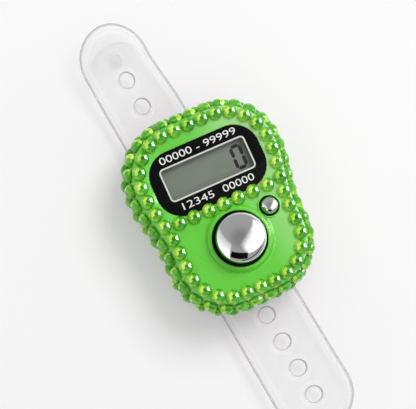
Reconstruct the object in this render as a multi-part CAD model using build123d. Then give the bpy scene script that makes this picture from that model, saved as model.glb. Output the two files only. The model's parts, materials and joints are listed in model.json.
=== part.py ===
from build123d import *
import math
import os

# A finger tally counter: millimetres, +Z up, +Y towards the head with the display.
# The origin is the middle of the case on the plane that it stands on.

# Face seen from above, from the head end down: display panel, divider row, count button, tail end
HEAD_MARGIN = 4.9
PANEL_LENGTH = 12.7
DIVIDER_GAP = 0.6
COUNT_DROP = 7.1
TAIL_MARGIN = 11.5
CASE_LENGTH = HEAD_MARGIN + PANEL_LENGTH + DIVIDER_GAP + COUNT_DROP + TAIL_MARGIN
HEAD_END_Y = CASE_LENGTH / 2
PANEL_Y = HEAD_END_Y - HEAD_MARGIN - PANEL_LENGTH / 2
DIVIDER_Y = PANEL_Y - PANEL_LENGTH / 2 - DIVIDER_GAP
COUNT_Y = DIVIDER_Y - COUNT_DROP

# Case outline: a wide head, two shoulders and a tail that the reset button gives its width.
# The shoulder places are shares of the length, and each corner radius is a share of the side
# between its shoulder and its end.
RESET_X = 7.65
RESET_SIDE_MARGIN = 5.5
SHOULDER_STEP = 1.6
TAIL_WIDTH = 2 * (RESET_X + RESET_SIDE_MARGIN)
HEAD_WIDTH = TAIL_WIDTH + 2 * SHOULDER_STEP
SHOULDER_TOP_SHARE = 0.15
SHOULDER_BOTTOM_SHARE = -0.075
HEAD_CORNER_SHARE = 0.8
TAIL_CORNER_SHARE = 0.63
SHOULDER_TOP_Y = CASE_LENGTH * SHOULDER_TOP_SHARE
SHOULDER_BOTTOM_Y = CASE_LENGTH * SHOULDER_BOTTOM_SHARE
HEAD_CORNER_RADIUS = (HEAD_END_Y - SHOULDER_TOP_Y) * HEAD_CORNER_SHARE
TAIL_CORNER_RADIUS = (HEAD_END_Y + SHOULDER_BOTTOM_Y) * TAIL_CORNER_SHARE
SHOULDER_RADIUS = 14.0
WALL = 1.7
FACE_THICKNESS = 1.6
FACE_EDGE_RADIUS = 0.4
UPPER_WALL_LEAN = 12.0
BASE_EDGE_RADIUS = 1.2
FLOOR_THICKNESS = 1.1
SEAM_LIP_HEIGHT = 1.0
SEAM_LIP_CLEARANCE = 0.1

# Clearances of pieces that sit on or beside each other
SEAT_GAP = 0.05
FIT_GAP = 0.1
BOARD_EDGE_GAP = 0.6

# Strap, seen from above it lies a little askew in its channel
STRAP_WIDTH = 14.9
STRAP_THICKNESS = 1.4
STRAP_EDGE_RADIUS = 0.35
STRAP_HOLE_DIAMETER = 3.0
STRAP_HOLE_PITCH = 5.83
STRAP_HOLE_COUNT = 13
STRAP_FIRST_HOLE = -39.5
STRAP_END_MARGIN = 7.6
STRAP_CURL_START = 24.0
STRAP_CURL_RADIUS = 50.0
STRAP_SKEW = 6.5
STRAP_SIDE_OFFSET = -2.05
STRAP_CLEARANCE = 0.25
STRAP_END_OVERRUN = 0.1
STUD_SPACING = 4.2
STUD_DIAMETER = 2.6
STUD_LENGTH = 1.6
STUD_HEAD_DIAMETER = 3.3
STUD_HEAD_THICKNESS = 0.8

# Strap channel under the case, closed below by the back plate
CHANNEL_SIDE_WALL = 1.25
CHANNEL_WIDTH = TAIL_WIDTH - 2 * CHANNEL_SIDE_WALL
CHANNEL_EDGE_RADIUS = 0.5
BACK_PLATE_THICKNESS = 1.4
BACK_PLATE_LENGTH = 22.4
BACK_PLATE_EDGE_RADIUS = 0.4

# Stones: flat backed and faceted
STONE_DIAMETER = 2.7
STONE_HEIGHT = 1.25
STONE_GIRDLE = 0.35
STONE_TABLE_DIAMETER = 1.5
STONE_FACETS = 8
STONE_GLUE = 0.06
FACE_ROW_INSET = 1.95
FACE_ROW_LEAST_PITCH = 2.74
SIDE_ROW_LEAST_PITCH = 2.85
UPPER_ROW_DROP = 2.2
SIDE_ROW_SPACING = 2.95
DIVIDER_PITCH = 3.0
DIVIDER_ROOM = (HEAD_WIDTH + TAIL_WIDTH) / 2 - 2 * FACE_ROW_INSET - STONE_DIAMETER
DIVIDER_COUNT = math.floor(DIVIDER_ROOM / DIVIDER_PITCH)

# Display panel in the head: clear lens, black mask with a window, liquid crystal cell
PANEL_WIDTH = 22.0
PANEL_CORNER_RADIUS = 5.0
MASK_THICKNESS = 0.15
LENS_THICKNESS = 0.8
WINDOW_WIDTH = 16.5
WINDOW_LENGTH = 5.7
WINDOW_RAISE = 0.25
WINDOW_Y = PANEL_Y + WINDOW_RAISE
WINDOW_CORNER_RADIUS = 0.6
LENS_LEDGE_RELIEF = 0.6
GLASS_WIDTH = 18.8
GLASS_LENGTH = 8.4
GLASS_THICKNESS = 0.55
GLASS_LEDGE = 1.1
FILM_THICKNESS = 0.15
FILM_MARGIN = 0.3
CELL_STANDOFF = 1.2
HOLDER_WALL = 0.6
HOLDER_LEDGE = 0.5
HOLDER_LENGTH = GLASS_LENGTH + 2 * FIT_GAP + 2 * HOLDER_WALL
ZEBRA_WIDTH = 0.8
ZEBRA_MARGIN = 0.9

# Circuit board and what it carries
BOARD_THICKNESS = 0.8
CHIP_DIAMETER = 6.4
CHIP_HEIGHT = 1.1
CHIP_Y = WINDOW_Y
COMPONENT_LENGTH = 1.6
COMPONENT_WIDTH = 0.8
COMPONENT_HEIGHT = 0.7
COMPONENT_GAP = 2.6
COMPONENT_PITCH = 2.4
COMPONENT_COUNT = 3
COMPONENT_X = CHIP_DIAMETER / 2 + COMPONENT_GAP + COMPONENT_LENGTH / 2
BOARD_SCREW_DIAMETER = 1.2
BOARD_SCREW_HEAD_DIAMETER = 2.2
BOARD_SCREW_HEAD_HEIGHT = 0.6
BOARD_POST_DIAMETER = 2.6
BOARD_POST_SIDE_INSET = 3.8
BOARD_POST_X = TAIL_WIDTH / 2 - BOARD_POST_SIDE_INSET
BOARD_POST_Y = DIVIDER_Y
BOARD_REST_DIAMETER = 1.8
BOARD_REST_DROP = 4.2
BOARD_REST_Y = BOARD_POST_Y - BOARD_REST_DROP
HEAD_REST_MARGIN = 4.9
HEAD_REST_Y = HEAD_END_Y - HEAD_REST_MARGIN
BOARD_REST_PLACES = ((BOARD_POST_X, BOARD_REST_Y), (-BOARD_POST_X, BOARD_REST_Y), (0, HEAD_REST_Y))

# Button cell under the count button, and its two contacts
BATTERY_DIAMETER = 11.6
BATTERY_THICKNESS = 3.05
BATTERY_RIM_RADIUS = 0.3
BATTERY_CAP_DIAMETER = 9.4
BATTERY_CAP_HEIGHT = 0.35
BATTERY_RAISE = 0.6
BATTERY_Y = COUNT_Y + BATTERY_RAISE
BATTERY_WALL = 0.8
BATTERY_WALL_HEIGHT = 2.0
BATTERY_SIDE_GAP = 0.2
CONTACT_THICKNESS = 0.25
CONTACT_WIDTH = 4.0
CONTACT_REACH = 4.0
CONTACT_TAB_GAP = 1.0
CONTACT_SLOT_MARGIN = 0.7

# Large count button and small reset button, each a dome on a flanged skirt
COUNT_DIAMETER = 9.3
COUNT_HOLE_DIAMETER = 10.5
COUNT_FLANGE_DIAMETER = 11.5
COUNT_RIM_RISE = 2.2
COUNT_RIM_RADIUS = 0.4
COUNT_DOME_HEIGHT = 2.0
COUNT_COLLAR_DIAMETER = 13.6
COUNT_COLLAR_HEIGHT = 0.9
COUNT_SKIN = 1.0
RESET_RAISE = 3.4
RESET_Y = COUNT_Y + RESET_RAISE
RESET_DIAMETER = 3.1
RESET_HOLE_DIAMETER = 3.9
RESET_FLANGE_DIAMETER = 4.6
RESET_RIM_RISE = 0.8
RESET_RIM_RADIUS = 0.2
RESET_DOME_HEIGHT = 0.8
RESET_COLLAR_DIAMETER = 4.4
RESET_COLLAR_HEIGHT = 0.3
FLANGE_THICKNESS = 0.8
COLLAR_INNER_EDGE_RADIUS = 0.12
COLLAR_CREST_WIDTH = 0.2

# Silicone key domes and the carbon pills under their tops
COUNT_KEY_DIAMETER = 6.8
COUNT_KEY_TOP_DIAMETER = 3.4
COUNT_PILL_DIAMETER = 2.2
RESET_KEY_DIAMETER = 3.8
RESET_KEY_TOP_DIAMETER = 2.0
RESET_PILL_DIAMETER = 1.1
KEY_HEIGHT = 1.75
KEY_FOOT_THICKNESS = 0.3
KEY_FOOT_WIDTH = 0.6
KEY_WALL = 0.35
PILL_THICKNESS = 0.4

# Screws
SCREW_DIAMETER = 1.7
SCREW_HEAD_DIAMETER = 2.8
SCREW_HEAD_HEIGHT = 0.8
SCREW_REACH_IN_BOSS = 1.4
SCREW_HOLE_GAP = 0.1
SCREW_THREAD_GAP = 0.02
CROSS_WIDTH = 0.35
CROSS_LENGTH = 1.7
CROSS_DEPTH = 0.4
CASE_POST_DIAMETER = 3.8
HEAD_SCREW_SIDE_INSET = 5.4
TAIL_SCREW_SIDE_INSET = 4.6
TAIL_SCREW_END_INSET = 6.1
HEAD_SCREW_X = HEAD_WIDTH / 2 - HEAD_SCREW_SIDE_INSET
HEAD_SCREW_Y = WINDOW_Y + HOLDER_LENGTH / 2 + FIT_GAP + CASE_POST_DIAMETER / 2
TAIL_SCREW_X = TAIL_WIDTH / 2 - TAIL_SCREW_SIDE_INSET
TAIL_SCREW_Y = TAIL_SCREW_END_INSET - HEAD_END_Y
CASE_SCREW_PLACES = (
    (HEAD_SCREW_X, HEAD_SCREW_Y),
    (-HEAD_SCREW_X, HEAD_SCREW_Y),
    (TAIL_SCREW_X, TAIL_SCREW_Y),
    (-TAIL_SCREW_X, TAIL_SCREW_Y),
)

# Levels, from the standing plane up
STRAP_BOTTOM = BACK_PLATE_THICKNESS + STRAP_CLEARANCE
STRAP_MIDDLE = STRAP_BOTTOM + STRAP_THICKNESS / 2
CHANNEL_CEILING = STRAP_BOTTOM + STRAP_THICKNESS + STRAP_CLEARANCE
FLOOR_TOP = CHANNEL_CEILING + FLOOR_THICKNESS
BATTERY_BOTTOM = FLOOR_TOP + CONTACT_THICKNESS
BATTERY_TOP = BATTERY_BOTTOM + BATTERY_THICKNESS
BOARD_BOTTOM = BATTERY_TOP + CONTACT_THICKNESS + SEAT_GAP
BOARD_TOP = BOARD_BOTTOM + BOARD_THICKNESS
PLUNGER_BOTTOM = BOARD_TOP + KEY_HEIGHT + SEAT_GAP
REFLECTOR_BOTTOM = BOARD_TOP + CELL_STANDOFF
BACK_GLASS_BOTTOM = REFLECTOR_BOTTOM + FILM_THICKNESS
FRONT_GLASS_BOTTOM = BACK_GLASS_BOTTOM + GLASS_THICKNESS
POLARISER_BOTTOM = FRONT_GLASS_BOTTOM + GLASS_THICKNESS
FACE_UNDERSIDE = POLARISER_BOTTOM + FILM_THICKNESS + SEAT_GAP
FACE_TOP = FACE_UNDERSIDE + FACE_THICKNESS
UPPER_ROW_Z = FACE_TOP - UPPER_ROW_DROP
LOWER_ROW_Z = UPPER_ROW_Z - SIDE_ROW_SPACING
SEAM_Z = (UPPER_ROW_Z + LOWER_ROW_Z) / 2

UPPER_WALL_SLOPE = math.tan(math.radians(UPPER_WALL_LEAN))


def half_outline(inset):
    """Right half of the case outline, drawn in by an inset, from head to tail."""
    head_x = HEAD_WIDTH / 2 - inset
    tail_x = TAIL_WIDTH / 2 - inset
    end_y = HEAD_END_Y - inset
    slant = math.atan2(SHOULDER_STEP, SHOULDER_TOP_Y - SHOULDER_BOTTOM_Y)
    lift = inset * math.tan(slant / 2)
    return FilletPolyline(
        (0, end_y),
        (head_x, end_y),
        (head_x, SHOULDER_TOP_Y + lift),
        (tail_x, SHOULDER_BOTTOM_Y + lift),
        (tail_x, -end_y),
        (0, -end_y),
        radius=(
            HEAD_CORNER_RADIUS - inset,
            SHOULDER_RADIUS - inset,
            SHOULDER_RADIUS + inset,
            TAIL_CORNER_RADIUS - inset,
        ),
    )


def case_face(inset, z):
    """Whole case outline as a flat face at a height."""
    right = half_outline(inset)
    left = mirror(right, about=Plane.YZ)
    return Pos(0, 0, z) * make_face([*right.edges(), *left.edges()])


def case_block(inset, bottom, top):
    """Upright block on the case outline between two heights."""
    return extrude(case_face(inset, bottom), amount=top - bottom)


def cylinder(diameter, bottom, top, x=0, y=0):
    """Upright cylinder between two heights."""
    height = top - bottom
    return Pos(x, y, bottom) * Cylinder(diameter / 2, height, align=(Align.CENTER, Align.CENTER, Align.MIN))


def slab(width, length, bottom, top, x=0, y=0, corner_radius=0):
    """Upright plate between two heights, with round corners where a radius is given."""
    shape = RectangleRounded(width, length, corner_radius) if corner_radius else Rectangle(width, length)
    return extrude(Pos(x, y, bottom) * shape, amount=top - bottom)


def spun(profile, x=0, y=0):
    """Solid turned about an upright axis from (radius, height) points."""
    section = Plane.XZ * make_face(Polyline(*profile, close=True))
    return Pos(x, y) * revolve(section, Axis.Z)


def collar(hole_diameter, outer_diameter, height, x, y):
    """Ring on the face around a button hole, with a soft slope down to the face."""
    inner = hole_diameter / 2
    outer = outer_diameter / 2
    crest = inner + COLLAR_CREST_WIDTH
    root = FACE_TOP - FACE_EDGE_RADIUS
    brow = FACE_TOP + height
    slope = Spline((crest, brow), (outer, FACE_TOP), tangents=((1, 0), (1, 0)))
    rest = Polyline((outer, FACE_TOP), (outer, root), (inner, root), (inner, brow), (crest, brow))
    ring = revolve(Plane.XZ * make_face([slope, *rest.edges()]), Axis.Z)
    mouth = ring.edges().filter_by(GeomType.CIRCLE).group_by(Axis.Z)[-1].sort_by(SortBy.RADIUS)[0]
    return Pos(x, y) * fillet(mouth, COLLAR_INNER_EDGE_RADIUS)


def divider_xs():
    """Places of the divider stones across the face."""
    first = -DIVIDER_PITCH * (DIVIDER_COUNT - 1) / 2
    return [first + DIVIDER_PITCH * index for index in range(DIVIDER_COUNT)]


def top_shell():
    """Upper case half: leaning wall, flat face, collars, display seat and screw bosses."""
    wall_height = FACE_TOP - SEAM_Z
    shell = loft([case_face(0, SEAM_Z), case_face(wall_height * UPPER_WALL_SLOPE, FACE_TOP)], ruled=True)
    shell = fillet(shell.faces().sort_by(Axis.Z)[-1].edges(), FACE_EDGE_RADIUS)
    shell -= case_block(WALL, SEAM_Z, FACE_UNDERSIDE)
    shell -= case_block(WALL / 2, SEAM_Z, SEAM_Z + SEAM_LIP_HEIGHT + SEAM_LIP_CLEARANCE)
    count_collar = collar(COUNT_HOLE_DIAMETER, COUNT_COLLAR_DIAMETER, COUNT_COLLAR_HEIGHT, 0, COUNT_Y)
    above = FACE_TOP + COUNT_COLLAR_HEIGHT
    for x in divider_xs():
        count_collar -= cylinder(STONE_DIAMETER + 2 * FIT_GAP, FACE_TOP, above, x, DIVIDER_Y)
    shell += count_collar
    shell += collar(RESET_HOLE_DIAMETER, RESET_COLLAR_DIAMETER, RESET_COLLAR_HEIGHT, RESET_X, RESET_Y)
    for x, y in CASE_SCREW_PLACES:
        shell += cylinder(CASE_POST_DIAMETER, SEAM_Z, FACE_UNDERSIDE, x, y)
    for x in (BOARD_POST_X, -BOARD_POST_X):
        shell += cylinder(BOARD_POST_DIAMETER, BOARD_TOP, FACE_UNDERSIDE, x, BOARD_POST_Y)
    shell -= cylinder(COUNT_HOLE_DIAMETER, FACE_UNDERSIDE, above, 0, COUNT_Y)
    shell -= cylinder(RESET_HOLE_DIAMETER, FACE_UNDERSIDE, above, RESET_X, RESET_Y)
    seat = FACE_TOP - MASK_THICKNESS - LENS_THICKNESS
    shell -= slab(PANEL_WIDTH, PANEL_LENGTH, seat, FACE_TOP, 0, PANEL_Y, PANEL_CORNER_RADIUS)
    opening_width = WINDOW_WIDTH + LENS_LEDGE_RELIEF
    opening_length = WINDOW_LENGTH + LENS_LEDGE_RELIEF
    shell -= slab(opening_width, opening_length, FACE_UNDERSIDE, seat, 0, WINDOW_Y, WINDOW_CORNER_RADIUS)
    pilot = SCREW_DIAMETER + 2 * SCREW_THREAD_GAP
    pilot_depth = SCREW_REACH_IN_BOSS + SCREW_HOLE_GAP
    for x, y in CASE_SCREW_PLACES:
        shell -= cylinder(pilot, SEAM_Z, SEAM_Z + pilot_depth, x, y)
    board_pilot = BOARD_SCREW_DIAMETER + 2 * SCREW_THREAD_GAP
    for x in (BOARD_POST_X, -BOARD_POST_X):
        shell -= cylinder(board_pilot, BOARD_TOP, BOARD_TOP + pilot_depth, x, BOARD_POST_Y)
    return shell


def bottom_shell():
    """Lower case half: floor, seam lip, battery wall, posts, strap channel and back plate."""
    shell = case_block(0, 0, SEAM_Z)
    shell = fillet(shell.faces().sort_by(Axis.Z)[0].edges(), BASE_EDGE_RADIUS)
    shell -= case_block(WALL, FLOOR_TOP, SEAM_Z)
    lip = case_block(WALL / 2 + SEAM_LIP_CLEARANCE, SEAM_Z, SEAM_Z + SEAM_LIP_HEIGHT)
    lip -= case_block(WALL, SEAM_Z, SEAM_Z + SEAM_LIP_HEIGHT)
    for x, y in CASE_SCREW_PLACES:
        lip -= cylinder(CASE_POST_DIAMETER + 2 * FIT_GAP, SEAM_Z, SEAM_Z + SEAM_LIP_HEIGHT, x, y)
    shell += lip
    inner = BATTERY_DIAMETER + 2 * BATTERY_SIDE_GAP
    ring = cylinder(inner + 2 * BATTERY_WALL, FLOOR_TOP, FLOOR_TOP + BATTERY_WALL_HEIGHT, 0, BATTERY_Y)
    ring -= cylinder(inner, FLOOR_TOP, FLOOR_TOP + BATTERY_WALL_HEIGHT, 0, BATTERY_Y)
    gap = CONTACT_WIDTH + 2 * CONTACT_SLOT_MARGIN
    ring -= slab(gap, inner + 2 * BATTERY_WALL, FLOOR_TOP, FLOOR_TOP + BATTERY_WALL_HEIGHT, 0, BATTERY_Y)
    shell += ring
    for x, y in CASE_SCREW_PLACES:
        shell += cylinder(CASE_POST_DIAMETER, FLOOR_TOP, SEAM_Z, x, y)
    for x, y in BOARD_REST_PLACES:
        shell += cylinder(BOARD_REST_DIAMETER, FLOOR_TOP, BOARD_BOTTOM, x, y)
    channel = slab(CHANNEL_WIDTH, CASE_LENGTH, 0, CHANNEL_CEILING)
    channel = fillet(channel.faces().sort_by(Axis.Z)[-1].edges().filter_by(Axis.Y), CHANNEL_EDGE_RADIUS)
    plate = slab(CHANNEL_WIDTH, BACK_PLATE_LENGTH, 0, BACK_PLATE_THICKNESS)
    channel -= fillet(plate.edges().filter_by(Axis.X), BACK_PLATE_EDGE_RADIUS)
    shell -= channel
    for x, y in CASE_SCREW_PLACES:
        shell -= cylinder(SCREW_DIAMETER + 2 * SCREW_HOLE_GAP, CHANNEL_CEILING, SEAM_Z, x, y)
        head_top = CHANNEL_CEILING + SCREW_HEAD_HEIGHT + SCREW_HOLE_GAP
        shell -= cylinder(SCREW_HEAD_DIAMETER + 2 * SCREW_HOLE_GAP, CHANNEL_CEILING, head_top, x, y)
    return shell


def screw(diameter, head_diameter, head_height, length):
    """Screw standing on its head with a cross recess underneath."""
    body = cylinder(head_diameter, 0, head_height) + cylinder(diameter, head_height, head_height + length)
    for turn in (0, 90):
        body -= Rot(0, 0, turn) * slab(CROSS_LENGTH, CROSS_WIDTH, 0, CROSS_DEPTH)
    return body


def case_screws():
    """Four screws that pull the case halves together from the channel."""
    base = CHANNEL_CEILING + SCREW_HOLE_GAP
    length = SEAM_Z + SCREW_REACH_IN_BOSS - base - SCREW_HEAD_HEIGHT
    one = screw(SCREW_DIAMETER, SCREW_HEAD_DIAMETER, SCREW_HEAD_HEIGHT, length)
    return Compound(children=[Pos(x, y, base) * one for x, y in CASE_SCREW_PLACES])


def board_screws():
    """Two screws that hold the board under its posts."""
    base = BOARD_BOTTOM - BOARD_SCREW_HEAD_HEIGHT
    length = BOARD_THICKNESS + SCREW_REACH_IN_BOSS
    one = screw(BOARD_SCREW_DIAMETER, BOARD_SCREW_HEAD_DIAMETER, BOARD_SCREW_HEAD_HEIGHT, length)
    return Compound(children=[Pos(x, BOARD_POST_Y, base) * one for x in (BOARD_POST_X, -BOARD_POST_X)])


def display_lens():
    """Clear plate that fills the seat in the face."""
    bottom = FACE_TOP - MASK_THICKNESS - LENS_THICKNESS
    width = PANEL_WIDTH - 2 * FIT_GAP
    length = PANEL_LENGTH - 2 * FIT_GAP
    return slab(width, length, bottom, bottom + LENS_THICKNESS, 0, PANEL_Y, PANEL_CORNER_RADIUS - FIT_GAP)


def display_mask():
    """Black film on the lens with the display window, level with the face."""
    bottom = FACE_TOP - MASK_THICKNESS
    width = PANEL_WIDTH - 2 * FIT_GAP
    length = PANEL_LENGTH - 2 * FIT_GAP
    mask = slab(width, length, bottom, FACE_TOP, 0, PANEL_Y, PANEL_CORNER_RADIUS - FIT_GAP)
    return mask - slab(WINDOW_WIDTH, WINDOW_LENGTH, bottom, FACE_TOP, 0, WINDOW_Y, WINDOW_CORNER_RADIUS)


def lcd_front_glass():
    """Front glass, longer than the back glass by the contact ledge."""
    return slab(GLASS_WIDTH, GLASS_LENGTH, FRONT_GLASS_BOTTOM, POLARISER_BOTTOM, 0, WINDOW_Y)


def lcd_back_glass():
    """Back glass, short of the contact ledge."""
    length = GLASS_LENGTH - GLASS_LEDGE
    return slab(GLASS_WIDTH, length, BACK_GLASS_BOTTOM, FRONT_GLASS_BOTTOM, 0, WINDOW_Y + GLASS_LEDGE / 2)


def lcd_polariser():
    """Front polarising film."""
    width = GLASS_WIDTH - 2 * FILM_MARGIN
    length = GLASS_LENGTH - 2 * FILM_MARGIN
    return slab(width, length, POLARISER_BOTTOM, POLARISER_BOTTOM + FILM_THICKNESS, 0, WINDOW_Y)


def lcd_reflector():
    """Reflecting film behind the back glass."""
    width = GLASS_WIDTH - 2 * FILM_MARGIN
    length = GLASS_LENGTH - GLASS_LEDGE - 2 * FILM_MARGIN
    return slab(width, length, REFLECTOR_BOTTOM, BACK_GLASS_BOTTOM, 0, WINDOW_Y + GLASS_LEDGE / 2)


def display_holder():
    """Frame on the board with a ledge under the back glass and a pocket around the cell."""
    pocket_width = GLASS_WIDTH + 2 * FIT_GAP
    pocket_length = GLASS_LENGTH + 2 * FIT_GAP
    outer_width = pocket_width + 2 * HOLDER_WALL
    frame = slab(outer_width, HOLDER_LENGTH, BOARD_TOP, POLARISER_BOTTOM, 0, WINDOW_Y)
    frame -= slab(pocket_width, pocket_length, REFLECTOR_BOTTOM, POLARISER_BOTTOM, 0, WINDOW_Y)
    well_width = GLASS_WIDTH - 2 * HOLDER_LEDGE
    well_length = pocket_length - HOLDER_LEDGE
    frame -= slab(well_width, well_length, BOARD_TOP, REFLECTOR_BOTTOM, 0, WINDOW_Y - HOLDER_LEDGE / 2)
    return frame


def zebra_strip():
    """Elastomer contact strip between the board and the ledge of the front glass."""
    y = WINDOW_Y - GLASS_LENGTH / 2 + ZEBRA_WIDTH / 2
    return slab(GLASS_WIDTH - 2 * ZEBRA_MARGIN, ZEBRA_WIDTH, BOARD_TOP, FRONT_GLASS_BOTTOM, 0, y)


def circuit_board():
    """Board on the inside of the case outline, notched around the case posts."""
    board = case_block(WALL + BOARD_EDGE_GAP, BOARD_BOTTOM, BOARD_TOP)
    for x, y in CASE_SCREW_PLACES:
        board -= cylinder(CASE_POST_DIAMETER + 2 * BOARD_EDGE_GAP, BOARD_BOTTOM, BOARD_TOP, x, y)
    for x in (BOARD_POST_X, -BOARD_POST_X):
        hole = BOARD_SCREW_DIAMETER + 2 * SCREW_HOLE_GAP
        board -= cylinder(hole, BOARD_BOTTOM, BOARD_TOP, x, BOARD_POST_Y)
    return board


def chip_cover():
    """Domed resin drop over the chip, under the board."""
    radius = (CHIP_DIAMETER ** 2 / 4 + CHIP_HEIGHT ** 2) / (2 * CHIP_HEIGHT)
    ball = Pos(0, CHIP_Y, BOARD_BOTTOM - CHIP_HEIGHT + radius) * Sphere(radius)
    return ball & slab(CHIP_DIAMETER, CHIP_DIAMETER, BOARD_BOTTOM - CHIP_HEIGHT, BOARD_BOTTOM, 0, CHIP_Y)


def board_components():
    """Small surface parts beside the chip."""
    bottom = BOARD_BOTTOM - COMPONENT_HEIGHT
    one = slab(COMPONENT_LENGTH, COMPONENT_WIDTH, bottom, BOARD_BOTTOM)
    first = CHIP_Y - COMPONENT_PITCH * (COMPONENT_COUNT - 1) / 2
    ys = [first + COMPONENT_PITCH * index for index in range(COMPONENT_COUNT)]
    return Compound(children=[Pos(COMPONENT_X, y) * one for y in ys])


def battery_cell():
    """Button cell: a can with a narrower cap underneath."""
    can = cylinder(BATTERY_DIAMETER, BATTERY_BOTTOM + BATTERY_CAP_HEIGHT, BATTERY_TOP, 0, BATTERY_Y)
    can = fillet(can.edges(), BATTERY_RIM_RADIUS)
    cap_top = BATTERY_TOP - BATTERY_CAP_HEIGHT
    return can + cylinder(BATTERY_CAP_DIAMETER, BATTERY_BOTTOM, cap_top, 0, BATTERY_Y)


def battery_contact_negative():
    """Strip on the floor under the cell with a tab up to the board on the tail side."""
    tab_y = BATTERY_Y - BATTERY_DIAMETER / 2 - CONTACT_TAB_GAP
    length = CONTACT_REACH - tab_y + BATTERY_Y
    strip = slab(CONTACT_WIDTH, length, FLOOR_TOP, BATTERY_BOTTOM, 0, tab_y + length / 2)
    tab_middle = tab_y + CONTACT_THICKNESS / 2
    return strip + slab(CONTACT_WIDTH, CONTACT_THICKNESS, FLOOR_TOP, BOARD_BOTTOM, 0, tab_middle)


def battery_contact_positive():
    """Strip between the cell and the board with a tab down the head side of the cell."""
    tab_y = BATTERY_Y + BATTERY_DIAMETER / 2 + CONTACT_TAB_GAP
    length = CONTACT_REACH + tab_y - BATTERY_Y
    top = BATTERY_TOP + CONTACT_THICKNESS
    strip = slab(CONTACT_WIDTH, length, BATTERY_TOP, top, 0, tab_y - length / 2)
    tab_middle = tab_y - CONTACT_THICKNESS / 2
    return strip + slab(CONTACT_WIDTH, CONTACT_THICKNESS, FLOOR_TOP + CONTACT_TAB_GAP, top, 0, tab_middle)


def button(diameter, rim_z, dome_height, rim_radius, flange_diameter):
    """Solid domed button on a skirt with a flange under the face, on the Z axis."""
    flange_top = FACE_UNDERSIDE - FIT_GAP
    flange_bottom = flange_top - FLANGE_THICKNESS
    radius = diameter / 2
    ball_radius = (radius ** 2 + dome_height ** 2) / (2 * dome_height)
    ball = Pos(0, 0, rim_z + dome_height - ball_radius) * Sphere(ball_radius)
    body = cylinder(diameter, rim_z, rim_z + dome_height) & ball
    body += cylinder(diameter, flange_bottom, rim_z)
    body = fillet(body.edges().filter_by_position(Axis.Z, rim_z, rim_z), rim_radius)
    return body + cylinder(flange_diameter, flange_bottom, flange_top)


def count_button():
    """Large chrome count button, hollow around a plunger that stands on its key dome."""
    rim_z = FACE_TOP + COUNT_COLLAR_HEIGHT + COUNT_RIM_RISE
    body = button(COUNT_DIAMETER, rim_z, COUNT_DOME_HEIGHT, COUNT_RIM_RADIUS, COUNT_FLANGE_DIAMETER)
    hollow = COUNT_DIAMETER - 2 * COUNT_SKIN
    body -= cylinder(hollow, BOARD_TOP, rim_z)
    body += cylinder(COUNT_KEY_TOP_DIAMETER, PLUNGER_BOTTOM, rim_z)
    return Pos(0, COUNT_Y) * body


def reset_button():
    """Small chrome reset button, solid down to its key dome."""
    rim_z = FACE_TOP + RESET_COLLAR_HEIGHT + RESET_RIM_RISE
    body = button(RESET_DIAMETER, rim_z, RESET_DOME_HEIGHT, RESET_RIM_RADIUS, RESET_FLANGE_DIAMETER)
    body += cylinder(RESET_KEY_TOP_DIAMETER, PLUNGER_BOTTOM, rim_z)
    return Pos(RESET_X, RESET_Y) * body


def key_dome(diameter, top_diameter, x, y):
    """Silicone dome: a foot ring, a thin cone and a flat top."""
    foot = diameter / 2
    waist = foot - KEY_FOOT_WIDTH
    crown = top_diameter / 2
    outside = (
        (0, BOARD_TOP),
        (foot, BOARD_TOP),
        (foot, BOARD_TOP + KEY_FOOT_THICKNESS),
        (waist, BOARD_TOP + KEY_FOOT_THICKNESS),
        (crown, BOARD_TOP + KEY_HEIGHT),
        (0, BOARD_TOP + KEY_HEIGHT),
    )
    inside = (
        (0, BOARD_TOP),
        (waist - KEY_WALL, BOARD_TOP),
        (waist - KEY_WALL, BOARD_TOP + KEY_FOOT_THICKNESS),
        (crown - KEY_WALL, BOARD_TOP + KEY_HEIGHT - KEY_WALL),
        (0, BOARD_TOP + KEY_HEIGHT - KEY_WALL),
    )
    return spun(outside, x, y) - spun(inside, x, y)


def key_pill(diameter, x, y):
    """Carbon pill under the top of a key dome."""
    top = BOARD_TOP + KEY_HEIGHT - KEY_WALL
    return cylinder(diameter, top - PILL_THICKNESS, top, x, y)


def stone():
    """Faceted stone standing on its flat back: girdle, one ring of facets and a table."""
    radius = STONE_DIAMETER / 2
    table = STONE_TABLE_DIAMETER / 2
    girdle = extrude(RegularPolygon(radius, STONE_FACETS), amount=STONE_GIRDLE)
    lower = Pos(0, 0, STONE_GIRDLE) * RegularPolygon(radius, STONE_FACETS)
    upper = Pos(0, 0, STONE_HEIGHT) * RegularPolygon(table, STONE_FACETS)
    return girdle + loft([lower, upper], ruled=True)


def row_places(inset, least_pitch, first_share):
    """Point and outward direction of each stone in a row round the whole outline."""
    path = half_outline(inset)
    half = math.floor(path.length / least_pitch)
    places = []
    for index in range(2 * half):
        share = ((index + first_share) / half) % 2
        side = 1 if share <= 1 else -1
        along = share if share <= 1 else 2 - share
        point = path.position_at(along * path.length, PositionMode.LENGTH)
        run = path.tangent_at(along * path.length, PositionMode.LENGTH)
        places.append((Vector(side * point.X, point.Y), Vector(-side * run.Y, run.X)))
    return places


def face_stones():
    """Row of stones around the edge of the face."""
    one = stone()
    places = row_places(FACE_ROW_INSET, FACE_ROW_LEAST_PITCH, 0)
    children = []
    for point, outward in places:
        seat = Plane(origin=(point.X, point.Y, FACE_TOP), x_dir=(outward.X, outward.Y, 0), z_dir=(0, 0, 1))
        children.append(seat.location * one)
    return Compound(children=children)


def divider_stones():
    """Straight row of stones between the display and the buttons."""
    one = stone()
    return Compound(children=[Pos(x, DIVIDER_Y, FACE_TOP) * one for x in divider_xs()])


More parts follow.
